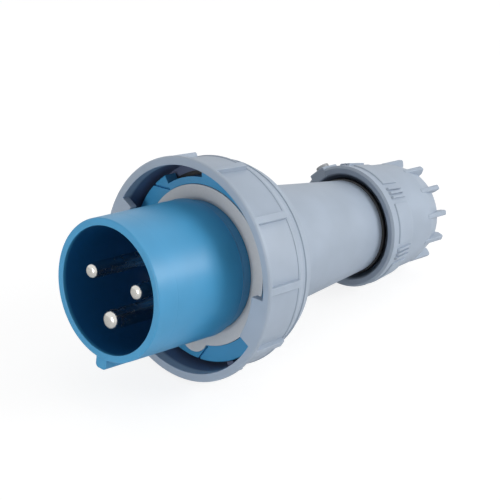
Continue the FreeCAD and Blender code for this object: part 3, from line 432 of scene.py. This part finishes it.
def turned_metal(name, colour, roughness):
    """Metal turned on a lathe and plated: fine rings across the plug's axis.

    The tool's marks are drawn 0.3 mm apart, and a cloud 4 mm wide varies the shine.
    """
    ring_size, cloud_size = 0.3 * MM, 4 * MM
    finish, tree, shader = new_material(name)
    place = add(tree, "ShaderNodeTexCoord").outputs["Object"]
    from_rim = add(tree, "ShaderNodeMapping", {"Vector": place, "Location": tuple(-RIM)},
                   vector_type="POINT").outputs["Vector"]
    along = add(tree, "ShaderNodeVectorMath", {0: from_rim, 1: tuple(BACK)},
                operation="DOT_PRODUCT").outputs["Value"]
    rings = add(tree, "ShaderNodeTexNoise", {"W": along, "Scale": 1 / ring_size, "Detail": 2.0},
                noise_dimensions="1D").outputs["Fac"]
    cloud = add(tree, "ShaderNodeTexNoise",
                {"Vector": place, "Scale": 1 / cloud_size, "Detail": 3.0}).outputs["Fac"]
    satin = add(tree, "ShaderNodeMapRange", {
        **NOISE_SPAN, "Value": cloud, "To Min": roughness - 0.05, "To Max": roughness + 0.08})
    relief = add(tree, "ShaderNodeBump",
                 {"Height": rings, "Strength": 0.04, "Distance": 0.03 * MM})
    tree.links.new(satin.outputs["Result"], shader.inputs["Roughness"])
    tree.links.new(relief.outputs["Normal"], shader.inputs["Normal"])
    shader.inputs["Base Color"].default_value = (*colour, 1)
    shader.inputs["Metallic"].default_value = 1.0
    return finish


FINISHES = {}


def finish_for(key):
    """Each finish, made once from the scene's colours."""
    if key in FINISHES:
        return FINISHES[key]
    colours, sizes = bpy.context.scene.plug_colours, bpy.context.scene.plug_sizes
    # The bores with painted shade: radius, front, depth at which the painted shade is full, and back
    tube_shade_zone = (sizes.shroud_r - sizes.shroud_wall + 0.3 * MM, 0, 2.5 * MM, sizes.floor_back)
    ring_shade_zone = (sizes.flange_r + 2.9 * MM, sizes.ring_at + 4.6 * MM, 2 * MM,
                 sizes.flange_back + 3 * MM)
    cap_shade_zone = (sizes.cap_mouth_r + 3 * MM, sizes.cap_at + 0.3 * MM, 1.2 * MM,
                sizes.cap_at + 8 * MM)
    makers = {
        "blue": lambda: moulded_polyamide("polyamide_blue", tuple(colours.shroud), 0.36,
                                          tuple(colours.tube_painted_shade), tube_shade_zone),
        "grey": lambda: moulded_polyamide("polyamide_grey", tuple(colours.grip), 0.42,
                                          tuple(colours.ring_painted_shade), ring_shade_zone),
        # A copy of the grey finish whose painted shade sits in the cap's mouth instead of inside the ring
        "cap": lambda: moulded_polyamide("polyamide_grey_cap", tuple(colours.grip), 0.42,
                                         tuple(colours.cap_painted_shade), cap_shade_zone),
        "natural": lambda: moulded_polyamide("polyamide_natural", tuple(colours.inner), 0.45),
        "acetal": lambda: moulded_polyamide("acetal_black", tuple(colours.seal), 0.35),
        "gasket": lambda: rubber("gasket_foam_grey", tuple(colours.gasket), 0.62, mottled=0.02),
        "rubber": lambda: rubber("nitrile_black", tuple(colours.seal), 0.5),
        "nickel": lambda: turned_metal("nickel_plated_brass", tuple(colours.plating), 0.22),
        "zinc": lambda: turned_metal("zinc_plated_steel", tuple(colours.zinc), 0.35),
        "brass": lambda: turned_metal("turned_brass", tuple(colours.brass), 0.3),
    }
    FINISHES[key] = makers[key]()
    return FINISHES[key]


# Sizes and colours that a user may change

def colour_of(name, description, code):
    """A colour, given as an sRGB hex value."""
    return FloatVectorProperty(name=name, description=description, subtype="COLOR",
                               default=linear(code), min=0, max=1)


def size(name, description, millimetres):
    """A length, given in millimetres."""
    return FloatProperty(name=name, description=description, default=millimetres * MM, min=0,
                         unit="LENGTH")


def in_mm(group):
    """A group's sizes as plain numbers of millimetres."""
    return SimpleNamespace(**{name: getattr(group, name) / MM for name in group.__annotations__})


class PlugColours(PropertyGroup):
    """The colours of the plug's plastics, rubbers and metals, and the painted shade of its bores"""
    shroud: colour_of("Shroud", "Blue of the front moulding", "#4299C9")
    grip: colour_of("Grip", "Grey of the ring, the grip and the gland cap", "#A2AFBF")
    # The three inside colours are painted shade, blended into the bores because the studio throws more light into
    # them than a room does
    tube_painted_shade: colour_of("Shroud inside", "Deep blue of the shroud's shaded inside", "#0C4D80")
    ring_painted_shade: colour_of("Ring inside", "Deep grey of the ring's shaded inside", "#596480")
    cap_painted_shade: colour_of("Cap mouth", "Deep grey of the gland cap's shaded mouth", "#3C4654")
    gasket: colour_of("Gasket", "Pale grey of the face gasket", "#D2D4D6")
    seal: colour_of("Seals", "Black of the seals and the friction washer", "#15171B")
    inner: colour_of("Inner pieces", "Natural colour of the unseen mouldings", "#D8D5CC")
    plating: colour_of("Pin plating", "Colour of the plated contact pins", "#DAD8D2")
    zinc: colour_of("Screw plating", "Colour of the zinc plated screws", "#8E9194")
    brass: colour_of("Brass", "Colour of the bare brass insert", "#C9A45C")


class PlugSizes(PropertyGroup):
    """The sizes of the plug's visible pieces; places count back from the shroud's rim"""
    shroud_r: size("Shroud radius", "Outside of the shroud tube", 35.5)
    shroud_wall: size("Shroud wall", "Wall of the shroud tube", 3.8)
    neck_r: size("Neck radius", "Shroud between its step and the flange", 33.7)
    neck_at: size("Neck start", "Step from the shroud to its neck", 57.5)
    key_r: size("Key radius", "Crest of the key rib", 40.9)
    key_width: size("Key width", "Key rib along the bottom of the shroud", 7.3)
    floor_at: size("Floor", "Front of the contact floor", 59)
    floor_back: size("Floor back", "Back of the contact floor", 70)
    flange_r: size("Flange radius", "Edge of the flange", 50.2)
    flange_at: size("Flange front", "Front face of the flange", 65.3)
    flange_back: size("Flange back", "Back face of the flange", 72.8)
    notch_r: size("Notch bottom", "Bottom of the flange's notches", 45.4)
    spigot_r: size("Spigot radius", "Spigot that enters the grip", 37)
    spigot_end: size("Spigot end", "Rear end of that spigot", 84.8)
    gasket_r: size("Gasket radius", "Edge of the face gasket", 41.6)
    gasket_at: size("Gasket front", "Front of the face gasket", 64.8)
    gasket_thick: size("Gasket thickness", "Face gasket", 2.5)
    lobe_r: size("Lobe radius", "Gasket's lobe round the key", 9.8)
    lobe_out: size("Lobe distance", "Centre of the lobe from the axis", 37.3)
    pin_circle: size("Pin circle", "Circle of the three pins", 16.2)
    phase_pin_r: size("Phase pin radius", "Line and neutral pins", 4)
    earth_pin_r: size("Earth pin radius", "Earth pin", 5)
    pin_tip: size("Pin tips", "Tips of the pins behind the rim", 2.4)
    ring_at: size("Ring front", "Front face of the locking ring", 52)
    ring_end: size("Ring end", "Rear edge of the locking ring", 92.3)
    lip_r: size("Lip radius", "Lip at the front of the locking ring", 57.58)
    lug_r: size("Lug crest", "Crest of the two bayonet lugs", 46)
    rib_width: size("Rib width", "Grip ribs on the locking ring", 3.9)
    shoulder_r: size("Shoulder radius", "Shoulder of the grip", 43.3)
    waist_r: size("Waist radius", "Grip where its flare ends", 33.85)
    waist_at: size("Waist", "Where the flare of the grip ends", 104)
    tail_r: size("Tail radius", "Rear end of the grip", 25.75)
    tail_at: size("Tail", "Where the grip stops tapering", 182)
    cap_at: size("Cap front", "Front rim of the gland cap", 179.2)
    cap_r: size("Cap radius", "Front rim of the gland cap", 34.2)
    cap_mouth_r: size("Cap mouth", "Mouth of the gland cap round the grip", 27.2)
    cap_step_r: size("Cap step", "Front zone of the cap at its step", 31.7)
    cap_end: size("Cap end", "Rear face of the gland cap", 232)
    fin_end: size("Fin ends", "Rear ends of the cap's fins", 235)
    boss_r: size("Boss top", "Flat top of the lock screw's boss", 35.5)


# The plug's pieces

class PLUG_OT_carried_pieces(Operator):
    """Gives the pieces that stay as they were built their finishes"""
    bl_idname = "plug.carried_pieces"
    bl_label = "Finish Carried Pieces"

    def execute(self, context):
        finishes = {
            "pin_seals": "rubber", "pin_retainer": "natural", "retainer_screws": "zinc",
            "terminal_screws": "zinc", "housing_screws": "zinc", "friction_washer": "acetal",
            "housing_seal": "rubber", "clamping_cage": "natural", "cable_grommet": "rubber",
            "thrust_washer": "natural", "lock_insert": "brass",
        }
        for node, finish in finishes.items():
            dress(frame["nodes"][node], finish_for(finish))
        return {"FINISHED"}


class PLUG_OT_front_shroud(Operator):
    """Models the blue shroud tube with its key, flange and contact floor"""
    bl_idname = "plug.front_shroud"
    bl_label = "Model Front Shroud"

    def execute(self, context):
        s = in_mm(context.scene.plug_sizes)
        inside, spigot_bore = s.shroud_r - s.shroud_wall, s.spigot_r - 4
        line_at, line_r = 12.5, s.shroud_r - 0.09
        bead_r, step_r = s.shroud_r + 0.12, s.shroud_r - 0.2
        seat, seat_r = s.gasket_at + s.gasket_thick, s.gasket_r + SEAT_PLAY
        groove, groove_half, groove_r = s.flange_back + 6, 1.45, s.spigot_r - 2.36
        shroud = turned("shroud", (
            (0, s.floor_at), (inside, s.floor_at, 0.8), (inside, 0, 0.45), (s.shroud_r, 0, 0.9),
            (s.shroud_r, line_at - 0.3), (line_r, line_at - 0.1),
            (line_r, line_at + 0.1), (s.shroud_r, line_at + 0.3),
            (s.shroud_r, s.neck_at - 0.9), (bead_r, s.neck_at - 0.7), (bead_r, s.neck_at - 0.4),
            (step_r, s.neck_at - 0.1, 0.2), (s.neck_r, s.neck_at + 2.4, 1.2),
            (s.neck_r, seat), (seat_r, seat), (seat_r, s.flange_at, 0.3),
            (s.flange_r, s.flange_at, 0.6), (s.flange_r, s.flange_back, 0.4),
            (s.spigot_r, s.flange_back),
            (s.spigot_r, groove - groove_half), (groove_r, groove - groove_half),
            (groove_r, groove + groove_half), (s.spigot_r, groove + groove_half),
            (s.spigot_r, s.spigot_end, 1), (spigot_bore, s.spigot_end),
            (spigot_bore, s.floor_back), (0, s.floor_back),
        ))
        before, behind, around = s.gasket_at - 1, s.flange_back + 1, s.flange_r + 1
        slot_width, slot_length = 1.2, 3.2
        head_r, head_circle, head_length = 4, 26.5, 4.8
        cuts = [post("lobe_seat", s.lobe_r + SEAT_PLAY, s.lobe_out, KEY_ANGLE, before,
                     s.gasket_thick + 1)]
        notches = ((PASS_ANGLE, PASS_WIDTH), (PASS_ANGLE + 180, PASS_WIDTH),
                   (WINDOW_ANGLE, WINDOW_WIDTH))
        for turn, width in notches:
            cuts.append(turned("notch", (
                (s.notch_r, before), (around, before), (around, behind), (s.notch_r, behind),
            ), width=width, turn=turn))
        for first, last in FACE_SLOTS:
            cuts.append(strip("slot", first, last, slot_width, before, slot_length))
        for turn in SCREW_ANGLES:
            cuts.append(post("head_seat", head_r, head_circle, turn, s.floor_at - 1, head_length))
        combine(shroud, "DIFFERENCE", *cuts)

        key_foot, key_half = s.neck_r - 1, s.key_width / 2
        key = bevelled(bar("key", (
            (key_foot, -key_half), (s.key_r, -key_half, KEY_ROUNDING),
            (s.key_r, key_half, KEY_ROUNDING), (key_foot, key_half),
        ), 0.45, seat - 0.4, turn=KEY_ANGLE), 0.4, angle=60)
        # Fills what the lobe's seat took from the neck
        neck = post("neck", s.neck_r - 0.01, 0, 0, s.floor_at + 3, seat - s.floor_at - 2.5)
        stop_foot, stop_r = s.flange_r - 1, s.flange_r + 1.6
        stop = turned("stop", (
            (stop_foot, STOP_AT), (stop_r, STOP_AT, 0.4),
            (stop_r, STOP_END, 0.4), (stop_foot, STOP_END),
        ), width=STOP_WIDTH, turn=STOP_ANGLE)
        combine(shroud, "UNION", neck, key, stop)
        lay_down(shroud, "root", "shroud_blue", finish_for("blue"), "front_shroud")
        return {"FINISHED"}


class PLUG_OT_face_gasket(Operator):
    """Models the pale gasket round the foot of the shroud, with its lobe at the key"""
    bl_idname = "plug.face_gasket"
    bl_label = "Model Face Gasket"

    def execute(self, context):
        s = in_mm(context.scene.plug_sizes)
        before, through = s.gasket_at - 1, s.gasket_thick + 2
        gasket = post("gasket", s.gasket_r, 0, 0, s.gasket_at, s.gasket_thick)
        lobe = post("lobe", s.lobe_r, s.lobe_out, KEY_ANGLE, s.gasket_at, s.gasket_thick)
        combine(gasket, "UNION", lobe)
        slot_foot, slot_r, slot_half = s.neck_r - 2, s.key_r + SEAT_PLAY, s.key_width / 2 + SEAT_PLAY
        slot = bar("key_slot", (
            (slot_foot, -slot_half), (slot_r, -slot_half, KEY_ROUNDING),
            (slot_r, slot_half, KEY_ROUNDING), (slot_foot, slot_half),
        ), before, through, turn=KEY_ANGLE)
        bore = post("bore", s.neck_r + SEAT_PLAY, 0, 0, before, through)
        combine(gasket, "DIFFERENCE", bore, slot)
        bevelled(gasket, 0.4)
        lay_down(gasket, "root", "gasket_grey", finish_for("gasket"), "face_gasket")
        return {"FINISHED"}


class PLUG_OT_contact_pins(Operator):
    """Models the three plated contact pins with their collars and terminal sleeves"""
    bl_idname = "plug.contact_pins"
    bl_label = "Model Contact Pins"

    def execute(self, context):
        s = in_mm(context.scene.plug_sizes)
        tip_rounding, collar_at, sleeve_end, sleeve_bottom = 0.62, s.floor_back - 4, 100, 78
        pins = (("line", s.phase_pin_r, -PHASE_ANGLE), ("neutral", s.phase_pin_r, PHASE_ANGLE),
                ("earth", s.earth_pin_r, KEY_ANGLE))
        for name, radius, turn in pins:
            foot_r, collar_r = radius + 0.5, radius + 3.5
            sleeve_r, wire_r = radius + 2.2, radius + 0.2
            pin = turned(name + "_contact", (
                (0, s.pin_tip), (radius, s.pin_tip, radius * tip_rounding),
                (radius, s.floor_at - 0.5), (foot_r, s.floor_at), (foot_r, collar_at),
                (collar_r, collar_at, 0.4), (collar_r, s.floor_back), (sleeve_r, s.floor_back),
                (sleeve_r, sleeve_end, 0.4), (wire_r, sleeve_end), (wire_r, sleeve_bottom),
                (0, sleeve_bottom),
            ), steps=PIN_STEPS)
            shifted(pin, s.pin_circle, turn)
            lay_down(pin, "root", "pin_plated", finish_for("nickel"), name + "_pin")
        return {"FINISHED"}


class PLUG_OT_locking_ring(Operator):
    """Models the grey bayonet ring with its sunk panels, grip ribs, lugs and stops"""
    bl_idname = "plug.locking_ring"
    bl_label = "Model Locking Ring"

    def execute(self, context):
        s = in_mm(context.scene.plug_sizes)
        mouth, bore, lip_end = s.flange_r + 3, s.flange_r + 2.1, s.ring_at + 2.4
        front_panel, rear_panel, panel_end = s.lip_r - 2.6, s.lip_r - 3.4, 77
        bead_r = rear_panel + 0.35
        web_at, web_back, web_bore = s.flange_back + 1.5, s.flange_back + 5.5, s.spigot_r + 3.7
        # The slope behind the panels, with a second bead: drop from the panels, place, rounding
        slope = ((2, 83, 2), (2.8, 85.6), (2.3, 86, 0.2), (2.8, 87.6, 0.2), (4, 88.4))
        ring = turned("ring", (
            (mouth, s.ring_at, 0.4), (s.lip_r, s.ring_at, 1.1), (s.lip_r, lip_end, 0.5),
            (front_panel, lip_end, 0.3), (rear_panel, panel_end, 0.2),
            (bead_r, panel_end + 0.2, 0.15), (bead_r, panel_end + 1.3, 0.5),
            *((rear_panel - drop, *place) for drop, *place in slope),
            (rear_panel - 5, s.ring_end, 1), (rear_panel - 8.2, s.ring_end, 0.4),
            (rear_panel - 3.2, web_back, 1), (web_bore, web_back), (web_bore, web_at),
            (bore, web_at, 0.5),
        ))
        rib_at, rib_foot = s.ring_at + 1.2, rear_panel - 1
        rib = bevelled(slab("rib", (
            (rib_foot, rib_at), (s.lip_r - 0.15, rib_at),
            (s.lip_r - 0.9, panel_end - 0.6, 1), (rib_foot, panel_end),
        ), s.rib_width, turn=RIB_ANGLE), 0.35)
        others = [repeat(rib, RIB_COUNT)]
        lug_foot, lug_at, lug_back = mouth + 1, s.ring_at + 0.02, s.ring_at + 4.4
        for turn in (LUG_ANGLE, LUG_ANGLE + 180):
            others.append(bevelled(turned("lug", (
                (s.lug_r, lug_at), (lug_foot, lug_at), (lug_foot, lug_back), (s.lug_r, lug_back),
            ), width=LUG_WIDTH, turn=turn), 0.4, segments=2))
        stop_r, stop_foot, stop_back = s.flange_r + 0.5, bore + 1, web_at + 1
        for turn in (OPEN_STOP_ANGLE, LOCKED_STOP_ANGLE):
            others.append(turned("ring_stop", (
                (stop_r, STOP_AT), (stop_foot, STOP_AT), (stop_foot, stop_back),
                (stop_r, stop_back),
            ), width=STOP_WIDTH, turn=turn))
        combine(ring, "UNION", *others)
        lay_down(ring, "locking_ring", "grip_grey", finish_for("grey"), "locking_ring")
        return {"FINISHED"}


class PLUG_OT_rear_housing(Operator):
    """Models the grey tapered grip with its shoulder, screw bosses and tail, and its lip ring"""
    bl_idname = "plug.rear_housing"
    bl_label = "Model Grip"

    def execute(self, context):
        s = in_mm(context.scene.plug_sizes)
        sleeve, shoulder_at, tail_bore = s.spigot_r + 0.2, s.flange_back + 5.8, s.tail_r - 2.9
        sleeve_out, hollow_at, wire_bore = sleeve + 3.2, shoulder_at + 12, tail_bore - 2
        seal_at, seal_end, seal_seat = s.cap_at + 0.4, s.cap_at + 3.4, s.tail_r - 0.9
        taper = (s.tail_at - seal_at) * (s.waist_r - s.tail_r) / (s.tail_at - s.waist_at)
        tail_end, seat_at = 204.5, 194.5
        grip = turned("grip", (
            (sleeve, s.flange_back), (sleeve_out, s.flange_back), (sleeve_out, shoulder_at),
            (s.shoulder_r, shoulder_at, 0.6), (s.shoulder_r, shoulder_at + 6, 3),
            (s.waist_r, s.waist_at, 60), (s.tail_r + taper, seal_at, 0.2),
            (seal_seat, seal_at), (seal_seat, seal_end), (s.tail_r, seal_end),
            (s.tail_r, tail_end, 0.6), (tail_bore, tail_end), (tail_bore, seat_at),
            (wire_bore, seat_at), (wire_bore, seat_at - 8), (s.tail_r - 4.1, seat_at - 14),
            (s.waist_r - 3.2, s.waist_at, 40), (s.shoulder_r - 6.4, hollow_at),
            (sleeve, shoulder_at + 6),
        ))
        boss_at, boss_in, boss_out = 88, 21.9, s.shoulder_r - 4.8
        bosses = [turned("boss", (
            (boss_in, boss_at), (boss_out, boss_at), (boss_out, hollow_at),
            (s.waist_r - 1.6, s.waist_at), (boss_in, s.waist_at),
        ), width=BOSS_WIDTH, turn=turn) for turn in SCREW_ANGLES]
        combine(grip, "UNION", *bosses)
        lay_down(grip, "root", "grip_grey", finish_for("grey"), "rear_housing")
        gap, lip_r = 0.05, s.cap_mouth_r - 0.3
        seal = turned("lip_ring", (
            (seal_seat + gap, seal_at + gap), (lip_r, seal_at, 0.9),
            (lip_r, seal_end, 0.9), (seal_seat + gap, seal_end - gap),
        ))
        lay_down(seal, "root", "seal_black", finish_for("rubber"), "cap_seal")
        return {"FINISHED"}


class PLUG_OT_gland_cap(Operator):
    """Models the grey gland cap with its grip pads, plain tiles, screw boss and rear fins"""
    bl_idname = "plug.gland_cap"
    bl_label = "Model Gland Cap"

    def execute(self, context):
        s = in_mm(context.scene.plug_sizes)
        step_at, dome_at, dome_r, rear_r = 200.6, 220.5, 29.4, 25.4
        inside, cable_r, grommet_r = s.cap_end - 4.4, 17, 20.6
        thread_r, thread_end, cone_r, cone_at = s.tail_r + 0.5, 209.5, 23.5, 211
        cap = turned("cap", (
            (s.cap_mouth_r, s.cap_at + 2.8, 0.2), (s.cap_mouth_r + 2.9, s.cap_at + 0.5, 0.3),
            (s.cap_r - 1.3, s.cap_at, 0.3), (s.cap_r, s.cap_at + 1.2, 0.3),
            (s.cap_step_r, step_at, 0.2), (s.cap_step_r - 0.8, step_at + 0.5, 0.2),
            (dome_r, dome_at, 7), (rear_r, s.cap_end, 2), (cable_r, s.cap_end, 0.6),
            (cable_r, inside), (grommet_r, inside), (cone_r, cone_at), (thread_r, thread_end),
            (thread_r, s.cap_at + 7.5), (s.cap_mouth_r, s.cap_at + 5.5),
        ))
        slope = (s.cap_r - s.cap_step_r) / (step_at - s.cap_at)
        front, rear, foot = PAD_AT, PAD_AT + PAD_LENGTH, s.cap_step_r - 1
        front_r, pad_rear_r = (s.cap_r - (place - s.cap_at) * slope for place in (front, rear))
        raised = []
        for name, turn, width, height, ease in PAD_FORMS:
            form = bevelled(turned(name, (
                (foot, front), (front_r, front), (front_r + height, front + height),
                (pad_rear_r + height, rear), (foot, rear),
            ), width=width, turn=turn, steps=PAD_STEPS), ease, segments=2)
            raised.append(repeat(form, PAD_COUNT))
        boss_foot, boss_half, boss_length = s.cap_mouth_r + 2, 5.6, 12.5
        boss = bevelled(bar("screw_boss", (
            (boss_foot, -boss_half), (s.boss_r, -boss_half),
            (s.boss_r, boss_half), (boss_foot, boss_half),
        ), s.cap_at + 0.02, boss_length, turn=LOCK_ANGLE), 0.7)
        fin_at, fin_foot, fin_width = 217.5, 23.6, 2.9
        fin_front_r, fin_rear_r, fin_inner_r = 29.9, 29.8, 25.6
        fin = bevelled(slab("fin", (
            (fin_foot, fin_at), (fin_front_r, fin_at), (fin_rear_r, s.fin_end, 1.4),
            (fin_inner_r, s.fin_end, 1.4), (fin_foot, s.cap_end - 0.5),
        ), fin_width, turn=FIN_ANGLE), 0.7)
        combine(cap, "UNION", *raised, repeat(fin, FIN_COUNT), boss)
        hole_r, hole_length = 2.5, 11
        hole = spoke("screw_hole", hole_r, LOCK_ANGLE, LOCK_AT, s.tail_r, hole_length)
        combine(cap, "DIFFERENCE", hole)
        lay_down(cap, "gland_cap", "grip_grey", finish_for("cap"), "gland_cap")
        return {"FINISHED"}


class PLUG_OT_lock_screw(Operator):
    """Models the slotted screw that locks the gland cap"""
    bl_idname = "plug.lock_screw"
    bl_label = "Model Lock Screw"

    def execute(self, context):
        s = in_mm(context.scene.plug_sizes)
        head_r, head_height, shank_r = 3.7, 2.3, 2.4
        slot_box, lean = (10 * MM, 1.2 * MM, 2.4 * MM, 1), math.radians(40)
        screw = bevelled(
            spoke("screw_head", head_r, LOCK_ANGLE, LOCK_AT, s.boss_r, head_height), 0.5)
        shank = spoke("shank", shank_r, LOCK_ANGLE, LOCK_AT, s.tail_r + 0.4, s.boss_r - s.tail_r)
        combine(screw, "UNION", shank)
        out, aside = directions(LOCK_ANGLE)
        along = math.sin(lean) * aside - math.cos(lean) * Vector((0, 0, 1))
        head_top = MM * ((s.boss_r + head_height) * out + Vector((0, 0, LOCK_AT)))
        bpy.ops.object.select_all(action="DESELECT")
        bpy.ops.mesh.primitive_cube_add(size=1)
        slot = bpy.context.object
        slot.matrix_world = (Matrix.Translation(head_top)
                             @ Matrix((along, along.cross(out), out)).transposed().to_4x4()
                             @ Matrix.Diagonal(slot_box))
        bpy.ops.object.transform_apply(location=True, rotation=True, scale=True)
        combine(screw, "DIFFERENCE", slot)
        lay_down(screw, "gland_cap", "screw_steel", finish_for("zinc"), "lock_screw")
        return {"FINISHED"}


class PLUG_OT_studio(Operator):
    """Sets up the floor, the soft lamps, the white surroundings and the camera"""
    bl_idname = "plug.studio"
    bl_label = "Set Up Studio"

    def execute(self, context):
        make_floor()
        make_lamps()
        make_world()
        make_camera()
        context.scene.view_settings.view_transform = "Standard"
        return {"FINISHED"}


def make_floor():
    """A pale floor that looks white to the camera and keeps a light shadow."""
    glow_strength, glow_share = 1.16, 0.72
    bpy.ops.object.select_all(action="DESELECT")
    bpy.ops.mesh.primitive_plane_add(size=6, location=(0, 0, 0))
    floor = bpy.context.object
    floor.name = "floor"
    finish, tree, shader = new_material("floor_white")
    shader.inputs["Base Color"].default_value = (*linear("#F4F4F4"), 1)
    shader.inputs["Roughness"].default_value = 0.9
    shader.inputs["Specular IOR Level"].default_value = 0.1
    glow = add(tree, "ShaderNodeEmission", {"Color": (1, 1, 1, 1), "Strength": glow_strength})
    path = add(tree, "ShaderNodeLightPath")
    share = add(tree, "ShaderNodeMath", {0: path.outputs["Is Camera Ray"], 1: glow_share},
                operation="MULTIPLY")
    mix = add(tree, "ShaderNodeMixShader",
              {0: share.outputs[0], 1: shader.outputs[0], 2: glow.outputs[0]})
    tree.links.new(mix.outputs[0], tree.nodes["Material Output"].inputs["Surface"])
    dress(floor, finish)


def make_lamps():
    """Soft boxes: the main one behind the right flank, and weaker ones above and in front."""
    # Name, place in metres, width in metres and power in watts
    lamps = (
        ("main_lamp", (1.35, 0.9, 0.8), 0.8, 16.5),
        ("top_lamp", (0.1, 0.5, 1.8), 1.4, 5),
        ("front_lamp", (0.1, -1.55, 0.32), 0.5, 8),
    )
    aim = Vector((0, 0, 0.05))
    for name, place, width, power in lamps:
        bpy.ops.object.light_add(type="AREA", location=place)
        lamp = bpy.context.object
        lamp.name = name
        lamp.data.size = width
        lamp.data.energy = power
        lamp.rotation_euler = (aim - Vector(place)).to_track_quat("-Z", "Y").to_euler()


def make_world():
    """Pale light, weaker from the plug's front, and white to the camera and to reflections."""
    bright_side, dim, bright = (0.25, 0.55, 0.6), 0.22, 0.46
    world = bpy.data.worlds.new("studio")
    bpy.context.scene.world = world
    world.use_nodes = True
    tree = world.node_tree
    path = add(tree, "ShaderNodeLightPath")
    seen = add(tree, "ShaderNodeMath",
               {0: path.outputs["Is Camera Ray"], 1: path.outputs["Is Glossy Ray"]},
               operation="MAXIMUM")
    seen = add(tree, "ShaderNodeMath",
               {0: seen.outputs[0], 1: path.outputs["Is Transmission Ray"]}, operation="MAXIMUM")
    way = add(tree, "ShaderNodeTexCoord").outputs["Generated"]
    slant = add(tree, "ShaderNodeVectorMath", {0: way, 1: bright_side}, operation="DOT_PRODUCT")
    light = add(tree, "ShaderNodeMapRange", {
        "Value": slant.outputs["Value"], "From Min": -0.4, "From Max": 0.6,
        "To Min": dim, "To Max": bright})
    strength = add(tree, "ShaderNodeMix",
                   {"Factor": seen.outputs[0], "A": light.outputs["Result"], "B": 1.0})
    sky = tree.nodes["Background"]
    sky.inputs["Color"].default_value = (1, 1, 1, 1)
    tree.links.new(strength.outputs["Result"], sky.inputs["Strength"])


def make_camera():
    """The photograph's view, found by fitting the outlines of the rims, the ring and the cap."""
    azimuth, pitch = math.radians(43.083), math.radians(25.397)
    focal_pixels, centre_x, centre_y, frame_pixels = 1606.9, 248.7, 222.3, 500
    film_width = 36
    spot = RIM + MM * Vector((512.26, -448.76, 357.97))
    back = Vector((math.sin(azimuth) * math.cos(pitch), -math.cos(azimuth) * math.cos(pitch),
                   math.sin(pitch)))
    right = Vector((math.cos(azimuth), math.sin(azimuth), 0))
    facing = Matrix((right, back.cross(right), back)).transposed().to_4x4()
    bpy.ops.object.camera_add()
    camera = bpy.context.object
    camera.name = "camera"
    camera.matrix_world = Matrix.Translation(spot) @ facing
    camera.data.sensor_width = film_width
    camera.data.lens = film_width * focal_pixels / frame_pixels
    camera.data.shift_x = 0.5 - centre_x / frame_pixels
    camera.data.shift_y = centre_y / frame_pixels - 0.5
    bpy.context.scene.camera = camera


class PLUG_PT_panel(Panel):
    """Lists the plug's sizes and colours, and its pieces in the order in which they are made"""
    bl_idname = "PLUG_PT_panel"
    bl_label = "Plug"
    bl_space_type = "VIEW_3D"
    bl_region_type = "UI"
    bl_category = "Plug"

    def draw(self, context):
        for group in (context.scene.plug_sizes, context.scene.plug_colours):
            for name in group.__annotations__:
                self.layout.prop(group, name)
        for operator in OPERATORS:
            self.layout.operator(operator.bl_idname)


OPERATORS = (
    PLUG_OT_carried_pieces, PLUG_OT_front_shroud, PLUG_OT_face_gasket, PLUG_OT_contact_pins,
    PLUG_OT_locking_ring, PLUG_OT_rear_housing, PLUG_OT_gland_cap, PLUG_OT_lock_screw,
    PLUG_OT_studio,
)
CLASSES = (PlugSizes, PlugColours, *OPERATORS, PLUG_PT_panel)


def register():
    for kind in CLASSES:
        bpy.utils.register_class(kind)
    bpy.types.Scene.plug_sizes = PointerProperty(type=PlugSizes)
    bpy.types.Scene.plug_colours = PointerProperty(type=PlugColours)


def unregister():
    del bpy.types.Scene.plug_colours
    del bpy.types.Scene.plug_sizes
    for kind in reversed(CLASSES):
        bpy.utils.unregister_class(kind)


def main():
    register()
    bpy.ops.plug.carried_pieces()
    bpy.ops.plug.front_shroud()
    bpy.ops.plug.face_gasket()
    bpy.ops.plug.contact_pins()
    bpy.ops.plug.locking_ring()
    bpy.ops.plug.rear_housing()
    bpy.ops.plug.gland_cap()
    bpy.ops.plug.lock_screw()
    bpy.ops.plug.studio()


if __name__ == "__main__":
    main()
